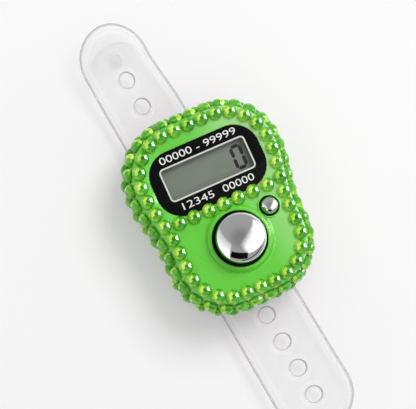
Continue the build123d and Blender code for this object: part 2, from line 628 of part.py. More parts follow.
def side_stones(inset, z, lean, first_share):
    """Row of stones around the side of the case, square to a wall that leans in."""
    one = stone()
    rise = math.sin(math.radians(lean))
    spread = math.cos(math.radians(lean))
    children = []
    for point, outward in row_places(inset, SIDE_ROW_LEAST_PITCH, first_share):
        facing = Vector(outward.X * spread, outward.Y * spread, rise)
        origin = Vector(point.X, point.Y, z) + facing * STONE_GLUE
        seat = Plane(origin=origin, x_dir=(-outward.Y, outward.X, 0), z_dir=facing)
        children.append(seat.location * one)
    return Compound(children=children)


def upper_side_stones():
    """Stones on the leaning wall of the upper case half."""
    return side_stones((UPPER_ROW_Z - SEAM_Z) * UPPER_WALL_SLOPE, UPPER_ROW_Z, UPPER_WALL_LEAN, 0.5)


def lower_side_stones():
    """Stones on the upright wall of the lower case half."""
    return side_stones(0, LOWER_ROW_Z, 0, 0)


def strap_frame(along):
    """Plane on the middle of the strap at a distance along it, square to its surface."""
    curl = max(0, along - STRAP_CURL_START) / STRAP_CURL_RADIUS
    flat = min(along, STRAP_CURL_START)
    y = flat + STRAP_CURL_RADIUS * math.sin(curl)
    z = STRAP_MIDDLE + STRAP_CURL_RADIUS * (1 - math.cos(curl))
    return Plane(origin=(0, y, z), x_dir=(1, 0, 0), z_dir=(0, -math.sin(curl), math.cos(curl)))


def strap():
    """Clear band with round ends, a row of holes and a stud, curled up at the head end."""
    last_hole = STRAP_FIRST_HOLE + STRAP_HOLE_PITCH * (STRAP_HOLE_COUNT - 1)
    stud_at = last_hole + STUD_SPACING
    start = STRAP_FIRST_HOLE - STRAP_END_MARGIN
    end = stud_at + STRAP_END_MARGIN
    middle = Line((0, start, STRAP_MIDDLE), (0, STRAP_CURL_START, STRAP_MIDDLE))
    curl = TangentArc(middle @ 1, strap_frame(end).origin, tangent=middle % 1)
    section = Plane(origin=middle @ 0, x_dir=(1, 0, 0), z_dir=(0, 1, 0)) * RectangleRounded(
        STRAP_WIDTH, STRAP_THICKNESS, STRAP_EDGE_RADIUS
    )
    band = sweep(section, path=Wire([middle, curl]))
    reach = strap_frame(end).origin
    length = reach.Y - start
    outline = SlotOverall(length, STRAP_WIDTH + 2 * STRAP_END_OVERRUN, rotation=90)
    band &= extrude(Pos(0, start + length / 2, 0) * outline, amount=reach.Z + STRAP_WIDTH)
    for index in range(STRAP_HOLE_COUNT):
        place = strap_frame(STRAP_FIRST_HOLE + STRAP_HOLE_PITCH * index)
        band -= place.location * Cylinder(STRAP_HOLE_DIAMETER / 2, 2 * STRAP_THICKNESS)
    stud = cylinder(STUD_DIAMETER, -STRAP_THICKNESS / 2 - STUD_LENGTH, 0)
    stud_bottom = -STRAP_THICKNESS / 2 - STUD_LENGTH
    stud += cylinder(STUD_HEAD_DIAMETER, stud_bottom, stud_bottom + STUD_HEAD_THICKNESS)
    band += strap_frame(stud_at).location * stud
    return Pos(STRAP_SIDE_OFFSET, 0, 0) * Rot(0, 0, STRAP_SKEW) * band


PIECES = {
    "top_shell": top_shell(),
    "bottom_shell": bottom_shell(),
    "case_screws": case_screws(),
    "display_mask": display_mask(),
    "display_lens": display_lens(),
    "lcd_polariser": lcd_polariser(),
    "lcd_front_glass": lcd_front_glass(),
    "lcd_back_glass": lcd_back_glass(),
    "lcd_reflector": lcd_reflector(),
    "display_holder": display_holder(),
    "zebra_strip": zebra_strip(),
    "circuit_board": circuit_board(),
    "board_screws": board_screws(),
    "chip_cover": chip_cover(),
    "board_components": board_components(),
    "battery_cell": battery_cell(),
    "battery_contact_negative": battery_contact_negative(),
    "battery_contact_positive": battery_contact_positive(),
    "count_button": count_button(),
    "reset_button": reset_button(),
    "count_key_dome": key_dome(COUNT_KEY_DIAMETER, COUNT_KEY_TOP_DIAMETER, 0, COUNT_Y),
    "reset_key_dome": key_dome(RESET_KEY_DIAMETER, RESET_KEY_TOP_DIAMETER, RESET_X, RESET_Y),
    "count_key_pill": key_pill(COUNT_PILL_DIAMETER, 0, COUNT_Y),
    "reset_key_pill": key_pill(RESET_PILL_DIAMETER, RESET_X, RESET_Y),
    "strap": strap(),
    "face_stones": face_stones(),
    "divider_stones": divider_stones(),
    "upper_side_stones": upper_side_stones(),
    "lower_side_stones": lower_side_stones(),
}

os.makedirs("parts", exist_ok=True)
for name, piece in PIECES.items():
    export_step(piece, f"parts/{name}.step")
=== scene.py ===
# %% [markdown]
# A finger tally counter: a green case set with faceted stones, a small display, two chrome
# buttons and a clear strap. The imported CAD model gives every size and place. This lesson adds
# what a camera sees: finishes, facets, print and light. It works in metres, in the CAD frame.

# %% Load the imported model
import json
import math

import bmesh
import bpy
import numpy as np
from mathutils import Matrix, Vector


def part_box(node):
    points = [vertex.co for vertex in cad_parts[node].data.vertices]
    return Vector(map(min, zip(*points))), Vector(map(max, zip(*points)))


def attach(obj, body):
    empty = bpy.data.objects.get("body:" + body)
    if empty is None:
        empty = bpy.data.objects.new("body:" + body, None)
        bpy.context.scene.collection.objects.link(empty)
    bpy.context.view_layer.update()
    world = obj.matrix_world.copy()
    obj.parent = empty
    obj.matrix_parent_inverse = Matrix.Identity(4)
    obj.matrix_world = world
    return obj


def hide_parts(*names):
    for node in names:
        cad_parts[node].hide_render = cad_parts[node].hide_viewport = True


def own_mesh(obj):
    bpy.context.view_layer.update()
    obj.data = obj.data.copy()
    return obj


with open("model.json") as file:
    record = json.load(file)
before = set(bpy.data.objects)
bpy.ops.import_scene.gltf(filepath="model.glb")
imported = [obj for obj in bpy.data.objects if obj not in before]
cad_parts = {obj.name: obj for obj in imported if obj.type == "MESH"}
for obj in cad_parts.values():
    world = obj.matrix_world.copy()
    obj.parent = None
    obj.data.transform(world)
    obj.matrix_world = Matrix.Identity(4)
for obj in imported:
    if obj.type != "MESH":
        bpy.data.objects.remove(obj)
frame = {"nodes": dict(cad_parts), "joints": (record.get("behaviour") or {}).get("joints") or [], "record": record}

scene = bpy.context.scene
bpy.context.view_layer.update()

# %% [markdown]
# The photograph looks almost straight down on the case with a long lens, and the picture is
# turned, so that the case lies across it. The camera goes on a line through the point in the
# middle of the picture: how far round, how high, how far away, and last how far it is rolled.

# %% Camera
CAMERA_TURN = math.radians(-65.9)
CAMERA_HEIGHT = math.radians(80.4)
CAMERA_ROLL = math.radians(41.8)
CAMERA_DISTANCE = 0.300
CAMERA_LENS = 134.2
PICTURE_MIDDLE = Vector((-0.00070, 0.00220, 0.0))
UP = Vector((0, 0, 1))

level_right = Vector((math.cos(CAMERA_TURN), math.sin(CAMERA_TURN), 0))
to_camera = math.sin(CAMERA_HEIGHT) * UP - math.cos(CAMERA_HEIGHT) * UP.cross(level_right)
camera_right = Matrix.Rotation(CAMERA_ROLL, 3, to_camera) @ level_right
camera_up = to_camera.cross(camera_right)


def facing_matrix(right, up, back, place):
    """Matrix of an object from its three axes and its place."""
    turn = Matrix((right, up, back)).transposed().to_4x4()
    return Matrix.Translation(place) @ turn


def new_object(name, data):
    """New object in the scene."""
    made = bpy.data.objects.new(name, data)
    scene.collection.objects.link(made)
    return made


camera = new_object("camera", bpy.data.cameras.new("camera"))
camera.data.lens = CAMERA_LENS
camera.data.sensor_fit = "HORIZONTAL"
camera_place = PICTURE_MIDDLE + CAMERA_DISTANCE * to_camera
camera.matrix_world = facing_matrix(camera_right, camera_up, to_camera, camera_place)
scene.camera = camera
scene.view_settings.view_transform = "Standard"
print("camera at", [round(x, 4) for x in camera.location])

# %% [markdown]
# Materials are sums of simple patterns. Writing the sums as Python keeps them readable, so a
# small class wraps one socket of a node tree: plus, minus and times add Math nodes, blend mixes
# two colours, and node makes any other node.

# %% A socket that can be added and multiplied


class Wire:
    """One output socket of a node tree."""

    def __init__(self, tree, socket):
        self.tree = tree
        self.socket = socket

    def node(self, kind, settings, inputs, output=0):
        """New node of a kind: its settings first, then the values or wires of its sockets."""
        made = self.tree.nodes.new(kind)
        for setting, value in settings.items():
            if setting == "stops":
                set_stops(made.color_ramp, value)
            else:
                setattr(made, setting, value)
        for socket, value in inputs.items():
            plug(self.tree, made.inputs[socket], value)
        return Wire(self.tree, made.outputs[output])

    def math(self, operation, first, second):
        return self.node("ShaderNodeMath", {"operation": operation}, {0: first, 1: second})

    def __add__(self, other):
        return self.math("ADD", self, other)

    def __radd__(self, other):
        return self.math("ADD", other, self)

    def __sub__(self, other):
        return self.math("SUBTRACT", self, other)

    def __rsub__(self, other):
        return self.math("SUBTRACT", other, self)

    def __mul__(self, other):
        return self.math("MULTIPLY", self, other)

    def __rmul__(self, other):
        return self.math("MULTIPLY", other, self)

    def __lt__(self, other):
        return self.math("LESS_THAN", self, other)

    def __abs__(self):
        return self.math("ABSOLUTE", self, 0)

    def root(self):
        return self.math("SQRT", self, 0)

    def at_least(self, low):
        return self.math("MAXIMUM", self, low)

    def at_most(self, high):
        return self.math("MINIMUM", self, high)

    def nearest(self, low, high):
        """Nearest whole number between two."""
        return self.math("ROUND", self, 0).at_least(low).at_most(high)

    def blend(self, low, high):
        """Colour between two, low where this wire is 0 and high where it is 1."""
        colours = {0: self, 6: low, 7: high}
        return self.node("ShaderNodeMix", {"data_type": "RGBA"}, colours, output=2)

    def tinted(self, tint):
        """This colour times another."""
        settings = {"data_type": "RGBA", "blend_type": "MULTIPLY"}
        return self.node("ShaderNodeMix", settings, {0: 1.0, 6: self, 7: tint}, output=2)

    def noise(self, scale, detail=2.0):
        """Cloudy value between 0 and 1 on these coordinates."""
        values = {"Vector": self, "Scale": scale, "Detail": detail}
        return self.node("ShaderNodeTexNoise", {}, values)

    def axes(self):
        """Wires of a vector's three numbers."""
        split = self.node("ShaderNodeSeparateXYZ", {}, {0: self})
        return [Wire(self.tree, socket) for socket in split.socket.node.outputs]

    def ramp(self, stops):
        """Colour of a ramp with these (place, colour) stops."""
        return self.node("ShaderNodeValToRGB", {"stops": stops}, {0: self})

    def attribute(self, name, output):
        """Wire of an attribute of the mesh."""
        return self.node("ShaderNodeAttribute", {"attribute_name": name}, {}, output)

    def bump(self, depth):
        """Surface direction of this height, which is depth metres from 0 to 1."""
        values = {"Height": self, "Distance": depth, "Strength": 1.0}
        return self.node("ShaderNodeBump", {}, values)


# %% Helpers that start and fill a finish


def plug(tree, socket, value):
    """Joins a wire to a socket, or sets its value."""
    if isinstance(value, Wire):
        tree.links.new(value.socket, socket)
    elif isinstance(value, tuple) and len(value) == 3 and socket.type == "RGBA":
        socket.default_value = (*value, 1)
    else:
        socket.default_value = value


def set_stops(ramp, stops):
    """Gives a colour ramp these (place, colour) stops."""
    while len(ramp.elements) < len(stops):
        ramp.elements.new(1)
    for element, (place, colour) in zip(ramp.elements, stops):
        element.position = place
        element.color = (*colour, 1)


def new_finish(name):
    """New material: its Principled shader and a wire of the object's own coordinates."""
    material = bpy.data.materials.new(name)
    material.use_nodes = True
    tree = material.node_tree
    shader = tree.nodes["Principled BSDF"]
    place = Wire(tree, tree.nodes.new("ShaderNodeTexCoord").outputs["Object"])
    return material, shader, place


def set_shader(shader, **values):
    """Sets the shader's sockets by name, with an underscore for each space."""
    for socket, value in values.items():
        plug(shader.id_data, shader.inputs[socket.replace("_", " ")], value)


print("shader helpers ready")

# %% [markdown]
# Most finishes that hardly show share one recipe: two close colours in a fine cloudy grain, with
# the roughness and a shallow bump on the same grain. Only the numbers differ from steel to
# silicone, so one function makes them all.

# %% Grained finishes of the inner parts
GRAIN_DETAIL = 3.0
INNER_RECIPES = {
    # slot: name, dark and light colour, size of the grain, least and most roughness, bump depth
    "steel": ("steel_zinc", (0.52, 0.53, 0.54), (0.66, 0.67, 0.68), 4e-4, (0.22, 0.36), 2e-6),
    "contact_brass": ("contact_brass", (0.60, 0.42, 0.15), (0.74, 0.55, 0.24), 5e-4, (0.2, 0.34)),
    "board": ("board_lacquer", (0.012, 0.10, 0.035), (0.02, 0.15, 0.05), 3e-4, (0.3, 0.45), 4e-6),
    "resin_black": (
        "chip_resin", (0.008, 0.008, 0.009), (0.02, 0.02, 0.022), 7e-4, (0.25, 0.4), 8e-6),
    "component": ("component_ceramic", (0.34, 0.24, 0.14), (0.46, 0.34, 0.21), 2e-4, (0.4, 0.6)),
    "silicone": ("key_silicone", (0.62, 0.63, 0.62), (0.74, 0.75, 0.74), 6e-4, (0.45, 0.6), 3e-6),
    "carbon": ("carbon_pill", (0.012,) * 3, (0.03,) * 3, 1e-4, (0.6, 0.8), 3e-6),
    "elastomer": ("striped_rubber", (0.05,) * 3, (0.45, 0.45, 0.46), 1.5e-4, (0.5, 0.7)),
    "holder_white": (
        "holder_plastic", (0.70, 0.71, 0.70), (0.80, 0.81, 0.80), 8e-4, (0.35, 0.5), 3e-6),
    "reflector": ("reflector_foil", (0.55, 0.57, 0.55), (0.7, 0.72, 0.7), 2e-4, (0.3, 0.45)),
    "lcd_glass": ("cell_glass", (0.40, 0.45, 0.38), (0.48, 0.53, 0.45), 3e-3, (0.06, 0.12)),
}
METAL_SHARE = {"steel": 1.0, "contact_brass": 1.0, "reflector": 0.6}


def grained(name, dark, light, grain, rough, depth=0.0, **constants):
    """Material with a cloudy grain of a size in metres, in colour, roughness and bump."""
    material, shader, place = new_finish(name)
    cloud = place.noise(1 / grain, GRAIN_DETAIL)
    roughness = rough[0] + (rough[1] - rough[0]) * cloud
    set_shader(shader, Base_Color=cloud.blend(dark, light), Roughness=roughness)
    if depth:
        set_shader(shader, Normal=cloud.bump(depth))
    set_shader(shader, **constants)
    return material


def coat(mesh, finish):
    """Gives a mesh one finish."""
    mesh.materials.clear()
    mesh.materials.append(finish)


inner_finishes = {}
for slot, recipe in INNER_RECIPES.items():
    inner_finishes[slot] = grained(*recipe, Metallic=METAL_SHARE.get(slot, 0.0))
for part in frame["record"]["subparts"]:
    if part["material_slot"] in inner_finishes:
        coat(frame["nodes"][part["node"]].data, inner_finishes[part["material_slot"]])
print("inner finishes", sorted(inner_finishes))

# %% [markdown]
# Chrome and polished stones look like the room they stand in, so the room is built with care.
# Two lamps light what is matt: a key light behind on the right, and a wide soft one overhead.
# Shiny things don't show them, as they get panels of their own further on.

# %% Lamps
LAMPS = {
    # name: direction, distance, side and radiance
    "key_light": ((0.33, 0.45, 0.83), 0.70, 0.36, 4.9),
    "top_light": ((0.0, 0.0, 1.0), 0.80, 1.4, 0.40),
}
picture_right = Vector((camera_right.x, camera_right.y, 0)).normalized()
picture_up = UP.cross(picture_right)


def seen(right, up, height):
    """Point or direction given in the picture's right, up and height."""
    return right * picture_right + up * picture_up + height * UP


def facing_object(direction, distance):
    """Place in a direction from the object, turned to face it."""
    away = seen(*direction).normalized()
    turn = away.to_track_quat("Z", "Y").to_matrix().to_4x4()
    return Matrix.Translation(distance * away) @ turn


def softbox(name, place, side, radiance):
    """Square lamp whose face shines with that radiance, unseen in shiny things."""
    lamp = bpy.data.lights.new(name, "AREA")
    lamp.shape = "SQUARE"
    lamp.size = side
    # Blender spreads a quarter of such a lamp's power over its face
    lamp.energy = 4 * radiance * side ** 2
    holder = new_object(name, lamp)
    holder.matrix_world = place
    holder.visible_camera = False
    holder.visible_glossy = False
    print(name, "power", round(lamp.energy, 3))


for name, (way, distance, side, radiance) in LAMPS.items():
    softbox(name, facing_object(way, distance), side, radiance)

# %% [markdown]
# The ceiling is grey, and darker overhead. The floor is white paper. A share of its light comes
# from the paper itself, for what the camera, chrome and clear vinyl see, so that it is pale
# without more light on the object. The case throws green light on it, which a rosy tint cancels.

# %% Ceiling and floor


def greys(*stops):
    """Ramp stops from (place, grey) pairs."""
    return tuple((place, (grey,) * 3) for place, grey in stops)


CEILING_STOPS = greys((0.0, 0.42), (0.75, 0.38), (0.97, 0.26))
FLOOR_REACH = 3.0
FLOOR_DROP = 0.00005
PAPER_DARK = (0.930, 0.932, 0.932)
PAPER_LIGHT = (0.945,) * 3
PAPER_GRAIN = 0.02
PAPER_ROUGH = 0.8
PAPER_GLOW = 0.3
CASE_REACH = (0.016, 0.020)
PAPER_ROSY_REACH = 4.0
# share of the reach from the case, and how much green the paper keeps there
GREEN_KEPT = ((0.0, 0.92), (0.05, 0.945), (0.1, 0.965), (0.2, 0.985), (0.4, 1.0))
PAPER_ROSY = tuple((share, (1.0, green, 1.0)) for share, green in GREEN_KEPT)
SEEN_RAYS = ("Is Camera Ray", "Is Glossy Ray", "Is Transmission Ray")

world = bpy.data.worlds.new("studio")
world.use_nodes = True
ceiling = world.node_tree.nodes["Background"]
sky = Wire(world.node_tree, world.node_tree.nodes.new("ShaderNodeTexCoord").outputs["Generated"])
plug(world.node_tree, ceiling.inputs["Color"], sky.axes()[2].ramp(CEILING_STOPS))
scene.world = world


def flat_sheet(name, width, tall, finish):
    """Flat rectangle in the XY plane, facing up, that isn't part of the object."""
    mesh = bpy.data.meshes.new(name)
    signs = ((-1, -1), (1, -1), (1, 1), (-1, 1))
    corners = [(x * width / 2, y * tall / 2, 0) for x, y in signs]
    mesh.from_pydata(corners, [], [(0, 1, 2, 3)])
    mesh.materials.append(finish)
    sheet = new_object(name, mesh)
    return sheet


def lit_paper():
    """White paper, a share of which shines by itself for the rays that see it directly."""
    material, shader, place = new_finish("floor_paper")
    path = place.node("ShaderNodeLightPath", {}, {}).socket.node.outputs
    direct = sum(Wire(place.tree, path[ray]) for ray in SEEN_RAYS)
    x, y, _ = place.axes()
    x, y = x * (1 / CASE_REACH[0]), y * (1 / CASE_REACH[1])
    away = ((x * x + y * y).root() - 1) * (1 / PAPER_ROSY_REACH)
    paper = place.noise(1 / PAPER_GRAIN).blend(PAPER_DARK, PAPER_LIGHT)
    paper = paper.tinted(away.ramp(PAPER_ROSY))
    own = direct.blend((0, 0, 0), (PAPER_GLOW,) * 3)
    left = direct.blend((1, 1, 1), (1 - PAPER_GLOW,) * 3)
    set_shader(shader, Base_Color=paper.tinted(left), Emission_Color=paper.tinted(own))
    set_shader(shader, Emission_Strength=1.0, Roughness=PAPER_ROUGH, Specular_IOR_Level=0.0)
    return material


floor = flat_sheet("floor", FLOOR_REACH, FLOOR_REACH, lit_paper())
floor.location.z = -FLOOR_DROP
print("floor", FLOOR_REACH, "metres wide")

# %% [markdown]
# Chrome shows the room as bands of light and dark, so its room is made of sheets that only shiny
# things show. Two leaning panels draw the white bands in the domes, a small, very bright one
# makes the sparks in the stones, and two black cards the dark marks low in the domes.

# %% Panels and cards that only shiny things show
RIGHT_SIZE = (0.67, 1.50)
RIGHT_GLOW = greys((0.0, 0.30), (1.0, 1.45))
NEAR_SOFT = 0.62
FAR_SOFT = 0.10
NEAR_FADE = 0.25
LEFT_SIZE = (1.0, 0.78)
LEFT_GLOW = greys((0.0, 0.58), (0.55, 1.32))
LEANS = {
    # panel: a corner, and the directions that its two sides run in
    "right": ((-0.098, -0.412, 0.889), (0.633, -0.612, -0.474), (0.392, 0.784, -0.483)),
    "left": ((-0.384, -0.28, 0.64), (-0.383, 0.741, -0.551), (0.157, -0.62, -0.77)),
}
SPARK_SIDE = 0.15
SPARK_WAY = (0.76, 0.36, 0.53)
SPARK_DISTANCE = 0.50
SPARK_RADIANCE = 19.0
CARDS = {
    # name: width, height, direction and distance
    "wide_card": (0.27, 0.12, (-0.02, -0.86, 0.50), 0.30),
    "low_card": (0.42, 0.022, (0.62, -0.72, 0.24), 0.35),
}


def shine_only(sheet, place):
    """Puts a sheet where only glossy surfaces show it."""
    sheet.matrix_world = place
    sheet.visible_camera = False
    sheet.visible_diffuse = False
    sheet.visible_shadow = False
    sheet.visible_transmission = False


def leaning(corner, along, across, width, tall):
    """Place of a sheet that starts at a corner and runs along and across two directions."""
    right = seen(*along).normalized()
    back = right.cross(seen(*across)).normalized()
    up = back.cross(right)
    return facing_matrix(right, up, back, seen(*corner) + right * width / 2 + up * tall / 2)


def glowing(name, colour_of, radiance=1.0):
    """Finish that only glows, in a colour worked out from the sheet's own x and y."""
    material, shader, place = new_finish(name)
    material.cycles.emission_sampling = "NONE"
    x, y, _ = place.axes()
    set_shader(shader, Base_Color=(0, 0, 0), Specular_IOR_Level=0.0)
    set_shader(shader, Emission_Color=colour_of(x, y), Emission_Strength=radiance)
    return material


def right_colour(x, y):
    """Sharp at the far end of the panel's edge, softer towards the near end, where it fades."""
    wide, tall = RIGHT_SIZE
    from_near = (y + tall / 2) * (1 / tall)
    soft = NEAR_SOFT - (NEAR_SOFT - FAR_SOFT) * from_near
    across = x.math("DIVIDE", x + wide / 2, soft * wide).at_most(1)
    fade = (from_near * (1 / NEAR_FADE)).at_most(1)
    return (across * fade).ramp(RIGHT_GLOW)


def left_colour(x, y):
    """Brighter away from the edge."""
    return ((y + LEFT_SIZE[1] / 2) * (1 / LEFT_SIZE[1])).ramp(LEFT_GLOW)


for side, size, colour in (("right", RIGHT_SIZE, right_colour), ("left", LEFT_SIZE, left_colour)):
    panel = flat_sheet(side + "_panel", *size, glowing(side + "_glow", colour))
    shine_only(panel, leaning(*LEANS[side], *size))
spark_glow = glowing("spark_glow", lambda x, y: (1, 1, 1), SPARK_RADIANCE)
spark_panel = flat_sheet("spark_panel", SPARK_SIDE, SPARK_SIDE, spark_glow)
shine_only(spark_panel, facing_object(SPARK_WAY, SPARK_DISTANCE))
card_velvet = grained(
    "card_velvet", (0.003,) * 3, (0.005,) * 3, 0.01, (0.9, 1.0), Specular_IOR_Level=0.0)
for name, (width, tall, way, distance) in CARDS.items():
    shine_only(flat_sheet(name, width, tall, card_velvet), facing_object(way, distance))
print("room in place")

# %% [markdown]
# The case is lime green plastic from a polished mould. It has a soft gloss, faint flow clouds in
# the colour and a very shallow orange peel, and a painted highlight: its colour turns paler
# towards the side that the light comes from. Around the display window under the lens and down
# the gaps round the buttons the moulding is painted black, as painted shade for these deep
# recesses; tests on the object's own coordinates find those places.

# %% Case plastic
CASE_GREEN_DEEP = (0.118, 0.59, 0.038)
CASE_GREEN_LIGHT = (0.148, 0.645, 0.052)
# painted highlight: the paler green that the case is blended towards on the side the light comes from
CASE_PAINTED_HIGHLIGHT = (0.37, 0.76, 0.25)
HIGHLIGHT_FROM = 0.002
HIGHLIGHT_REACH = 0.009
# near-black painted shade, for deep recesses of the case and the bottom of the button stems
PAINTED_SHADE_BLACK = (0.004,) * 3
CLOUD_SIZE = 0.006
GLOSS_DETAIL = 4.0
CASE_ROUGH = 0.24
CLOUD_ROUGH = 0.08
PEEL_SIZE = 0.0007
PEEL_DETAIL = 1.0
PEEL_DEPTH = 1.2e-6
# painted shade round the display window, under the lens
SHADE_MARGIN = 0.0015
SHADE_LIFT = 0.00005
GAP_SHADE = {
    # button: radius of the hole painted with shade, and the height that the painted shade reaches
    "count_button": (0.00535, 0.0133),
    "reset_button": (0.00200, 0.0128),
}
window_low, window_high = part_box("lcd_polariser")
lens_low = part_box("display_lens")[0]
highlight_way = seen(0.82, 0.57, 0)


def case_plastic():
    material, shader, place = new_finish("case_plastic_lime")
    green = place.noise(1 / CLOUD_SIZE).blend(CASE_GREEN_DEEP, CASE_GREEN_LIGHT)
    x, y, z = place.axes()
    # painted highlight: paler towards the side that the light comes from
    pale = x * (highlight_way.x / HIGHLIGHT_REACH) + y * (highlight_way.y / HIGHLIGHT_REACH) - HIGHLIGHT_FROM / HIGHLIGHT_REACH
    green = pale.blend(green, CASE_PAINTED_HIGHLIGHT)
    middle_y = (window_low.y + window_high.y) / 2
    reach_x = window_high.x + SHADE_MARGIN
    reach_y = (window_high.y - window_low.y) / 2 + SHADE_MARGIN
    # painted shade: black under the lens round the window, and down the gaps round the buttons, where little light
    # reaches
    painted_shade = (abs(x) < reach_x) * (abs(y - middle_y) < reach_y) * (z < lens_low.z + SHADE_LIFT)
    for node, (radius, reach_z) in GAP_SHADE.items():
        low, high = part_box(node)
        off_x = x - (low.x + high.x) / 2
        off_y = y - (low.y + high.y) / 2
        painted_shade = painted_shade + (off_x * off_x + off_y * off_y < radius ** 2) * (z < reach_z)
    peel = place.noise(1 / PEEL_SIZE, PEEL_DETAIL)
    gloss = place.noise(1 / CLOUD_SIZE, GLOSS_DETAIL)
    set_shader(shader, Base_Color=painted_shade.blend(green, PAINTED_SHADE_BLACK), Normal=peel.bump(PEEL_DEPTH))
    set_shader(shader, Roughness=CASE_ROUGH + CLOUD_ROUGH * gloss)
    set_shader(shader, Coat_Weight=0.25, Coat_Roughness=0.12)
    return material


case_green = case_plastic()
print("case plastic ready")

# %% [markdown]
# The two case halves keep their CAD shape. A CAD mesh is loose triangles, so a copy is welded
# and shaded smooth up to an angle, and a weighted normal keeps the flat face flat beside its
# rounded edge. That copy stands for the CAD node.

# %% Copies of CAD nodes with smooth shading
WELD_DISTANCE = 1e-6
SMOOTH_ANGLE = math.radians(32.0)


def plain_mesh(source):
    """Plain mesh of an object with its modifiers worked in."""
    graph = bpy.context.evaluated_depsgraph_get()
    return bpy.data.meshes.new_from_object(source.evaluated_get(graph), depsgraph=graph)


def add_piece(name, mesh, material, body, slot, *nodes):
    """New piece of the object, which rides on a body and may stand for CAD nodes."""
    mesh.name = name
    coat(mesh, material)
    piece = new_object(name, mesh)
    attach(piece, body)
    if nodes:
        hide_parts(*nodes)
    print(name, len(mesh.polygons), "faces on", body)
    return piece


def weld(work):
    """Merges points that lie on each other."""
    bmesh.ops.remove_doubles(work, verts=work.verts, dist=WELD_DISTANCE)


def shade_by_angle(mesh):
    """Smooth shading with sharp edges past an angle."""
    mesh.polygons.foreach_set("use_smooth", [True] * len(mesh.polygons))
    mesh.set_sharp_from_angle(angle=SMOOTH_ANGLE)


def welded_copy(node):
    """Welded, smooth shaded copy of a CAD node's mesh."""
    mesh = frame["nodes"][node].data.copy()
    work = bmesh.new()
    work.from_mesh(mesh)
    weld(work)
    work.to_mesh(mesh)
    work.free()
    mesh.normals_split_custom_set([(0, 0, 0)] * len(mesh.loops))
    shade_by_angle(mesh)
    helper = new_object("helper", mesh)
    weighted = helper.modifiers.new("weighted", "WEIGHTED_NORMAL")
    weighted.keep_sharp = True
    smooth = plain_mesh(helper)
    bpy.data.objects.remove(helper)
    return smooth


for name, node in (("case_top", "top_shell"), ("case_base", "bottom_shell")):
    add_piece(name, welded_copy(node), case_green, "case", "case_plastic", node)

# %% [markdown]
# Each stone is a flat backed dome of cast resin with a clear rainbow coat: a small table, six
# broad facets round it, then two rings of small facets down to the girdle. The facets are the
# look, so they are real faces. Every face carries painted light: a tone that stands for light
# that went into the stone and comes back through some facets bright and through others deep.

# %% One stone
STONE_RADIUS = 0.00135
STONE_HEIGHT = 0.00125
STONE_RINGS = (
    # corners, share of the radius, share of the height
    (12, 1.00, 0.00),
    (12, 1.00, 0.24),
    (12, 0.94, 0.50),
    (6, 0.72, 0.82),
    (6, 0.30, 1.00),
)
# painted light of the facets: tones that stand for light coming back out of the stone
TABLE_RISE = 0.97
TABLE_PAINTED_SHADE = 0.12
CROWN_RISE = 0.84
CROWN_PAINTED_LIGHT = (0.40, 0.45, 0.88, 0.92, 0.35, 0.22)
GLOW_TURNS = (110, 290)
PAINTED_GLOW_TONE = 0.55
PAINTED_SHADE_TONE = 0.10
TONE_SPREAD = 0.35
STONE_SEED = 7


def stone_mesh():
    """Faceted dome standing on its back at the origin, with painted light as a tone on every face."""
    work = bmesh.new()
    rings = []
    for corners, wide, high in STONE_RINGS:
        turns = [2 * math.pi * index / corners for index in range(corners)]
        radius, z = wide * STONE_RADIUS, high * STONE_HEIGHT
        places = [(radius * math.cos(turn), radius * math.sin(turn), z) for turn in turns]
        rings.append([work.verts.new(place) for place in places])
    work.faces.new(rings[0][::-1])
    for lower, upper in zip(rings, rings[1:]):
        join_rings(work, lower, upper)
    work.faces.new(rings[-1])
    bmesh.ops.recalc_face_normals(work, faces=work.faces)
    mesh = bpy.data.meshes.new("stone")
    work.to_mesh(mesh)
    work.free()
    tone = mesh.attributes.new("facet_tone", "FLOAT", "FACE")
    dice = np.random.default_rng(STONE_SEED)
    tone.data.foreach_set("value", [facet_tone(face, dice.random()) for face in mesh.polygons])
    return mesh


def join_rings(work, lower, upper):
    """Faces between two rings: four sided where they have as many corners, else triangles."""
    count = len(lower)
    if count == len(upper):
        for index in range(count):
            after = (index + 1) % count
            work.faces.new((lower[index], lower[after], upper[after], upper[index]))
        return
    for index, corner in enumerate(upper):
        left, own, right = lower[2 * index - 1], lower[2 * index], lower[2 * index + 1]
        after = upper[(index + 1) % len(upper)]
        work.faces.new((corner, left, own))
        work.faces.new((corner, own, right))
        work.faces.new((corner, right, after))


def facet_tone(face, chance):
    """Painted light of a facet: painted shade in the table, a listed tone in the crown, and painted glow on the
    side away from the spark panel.
    """
    rise = face.center.z / STONE_HEIGHT
    turn = math.degrees(math.atan2(face.center.y, face.center.x)) % 360
    if rise > TABLE_RISE:
        return TABLE_PAINTED_SHADE
    if rise > CROWN_RISE:
        return CROWN_PAINTED_LIGHT[int(turn * len(CROWN_PAINTED_LIGHT) // 360)]
    bright = GLOW_TURNS[0] < turn < GLOW_TURNS[1]
    return (PAINTED_GLOW_TONE if bright else PAINTED_SHADE_TONE) + TONE_SPREAD * chance


stone_pattern = stone_mesh()
print("stone faces", len(stone_pattern.polygons))

# %% [markdown]
# The resin is one ramp of greens from deep to pale. What picks the place on it is the painted
# light of the facet, a shade that differs from stone to stone, and a swirl inside the stone. Stones
# on the side get more light from the table, so theirs are painted lighter: they start a little
# further up the ramp.

# %% Stone resin
STONE_TONES = (
    (0.0, (0.012, 0.17, 0.004)),
    (0.3, (0.055, 0.38, 0.012)),
    (0.55, (0.16, 0.58, 0.025)),
    (0.8, (0.44, 0.80, 0.05)),
    (1.0, (0.76, 0.97, 0.20)),
)
SHADE_SHARE = 0.22
SWIRL_SHARE = 0.3
SWIRL_SIZE = 0.5 * STONE_RADIUS
STONE_ROUGH = 0.03
SWIRL_ROUGH = 0.05
# painted light: side stones are painted lighter, standing for the light they get from the table
SIDE_PAINTED_LIGHT = 0.1


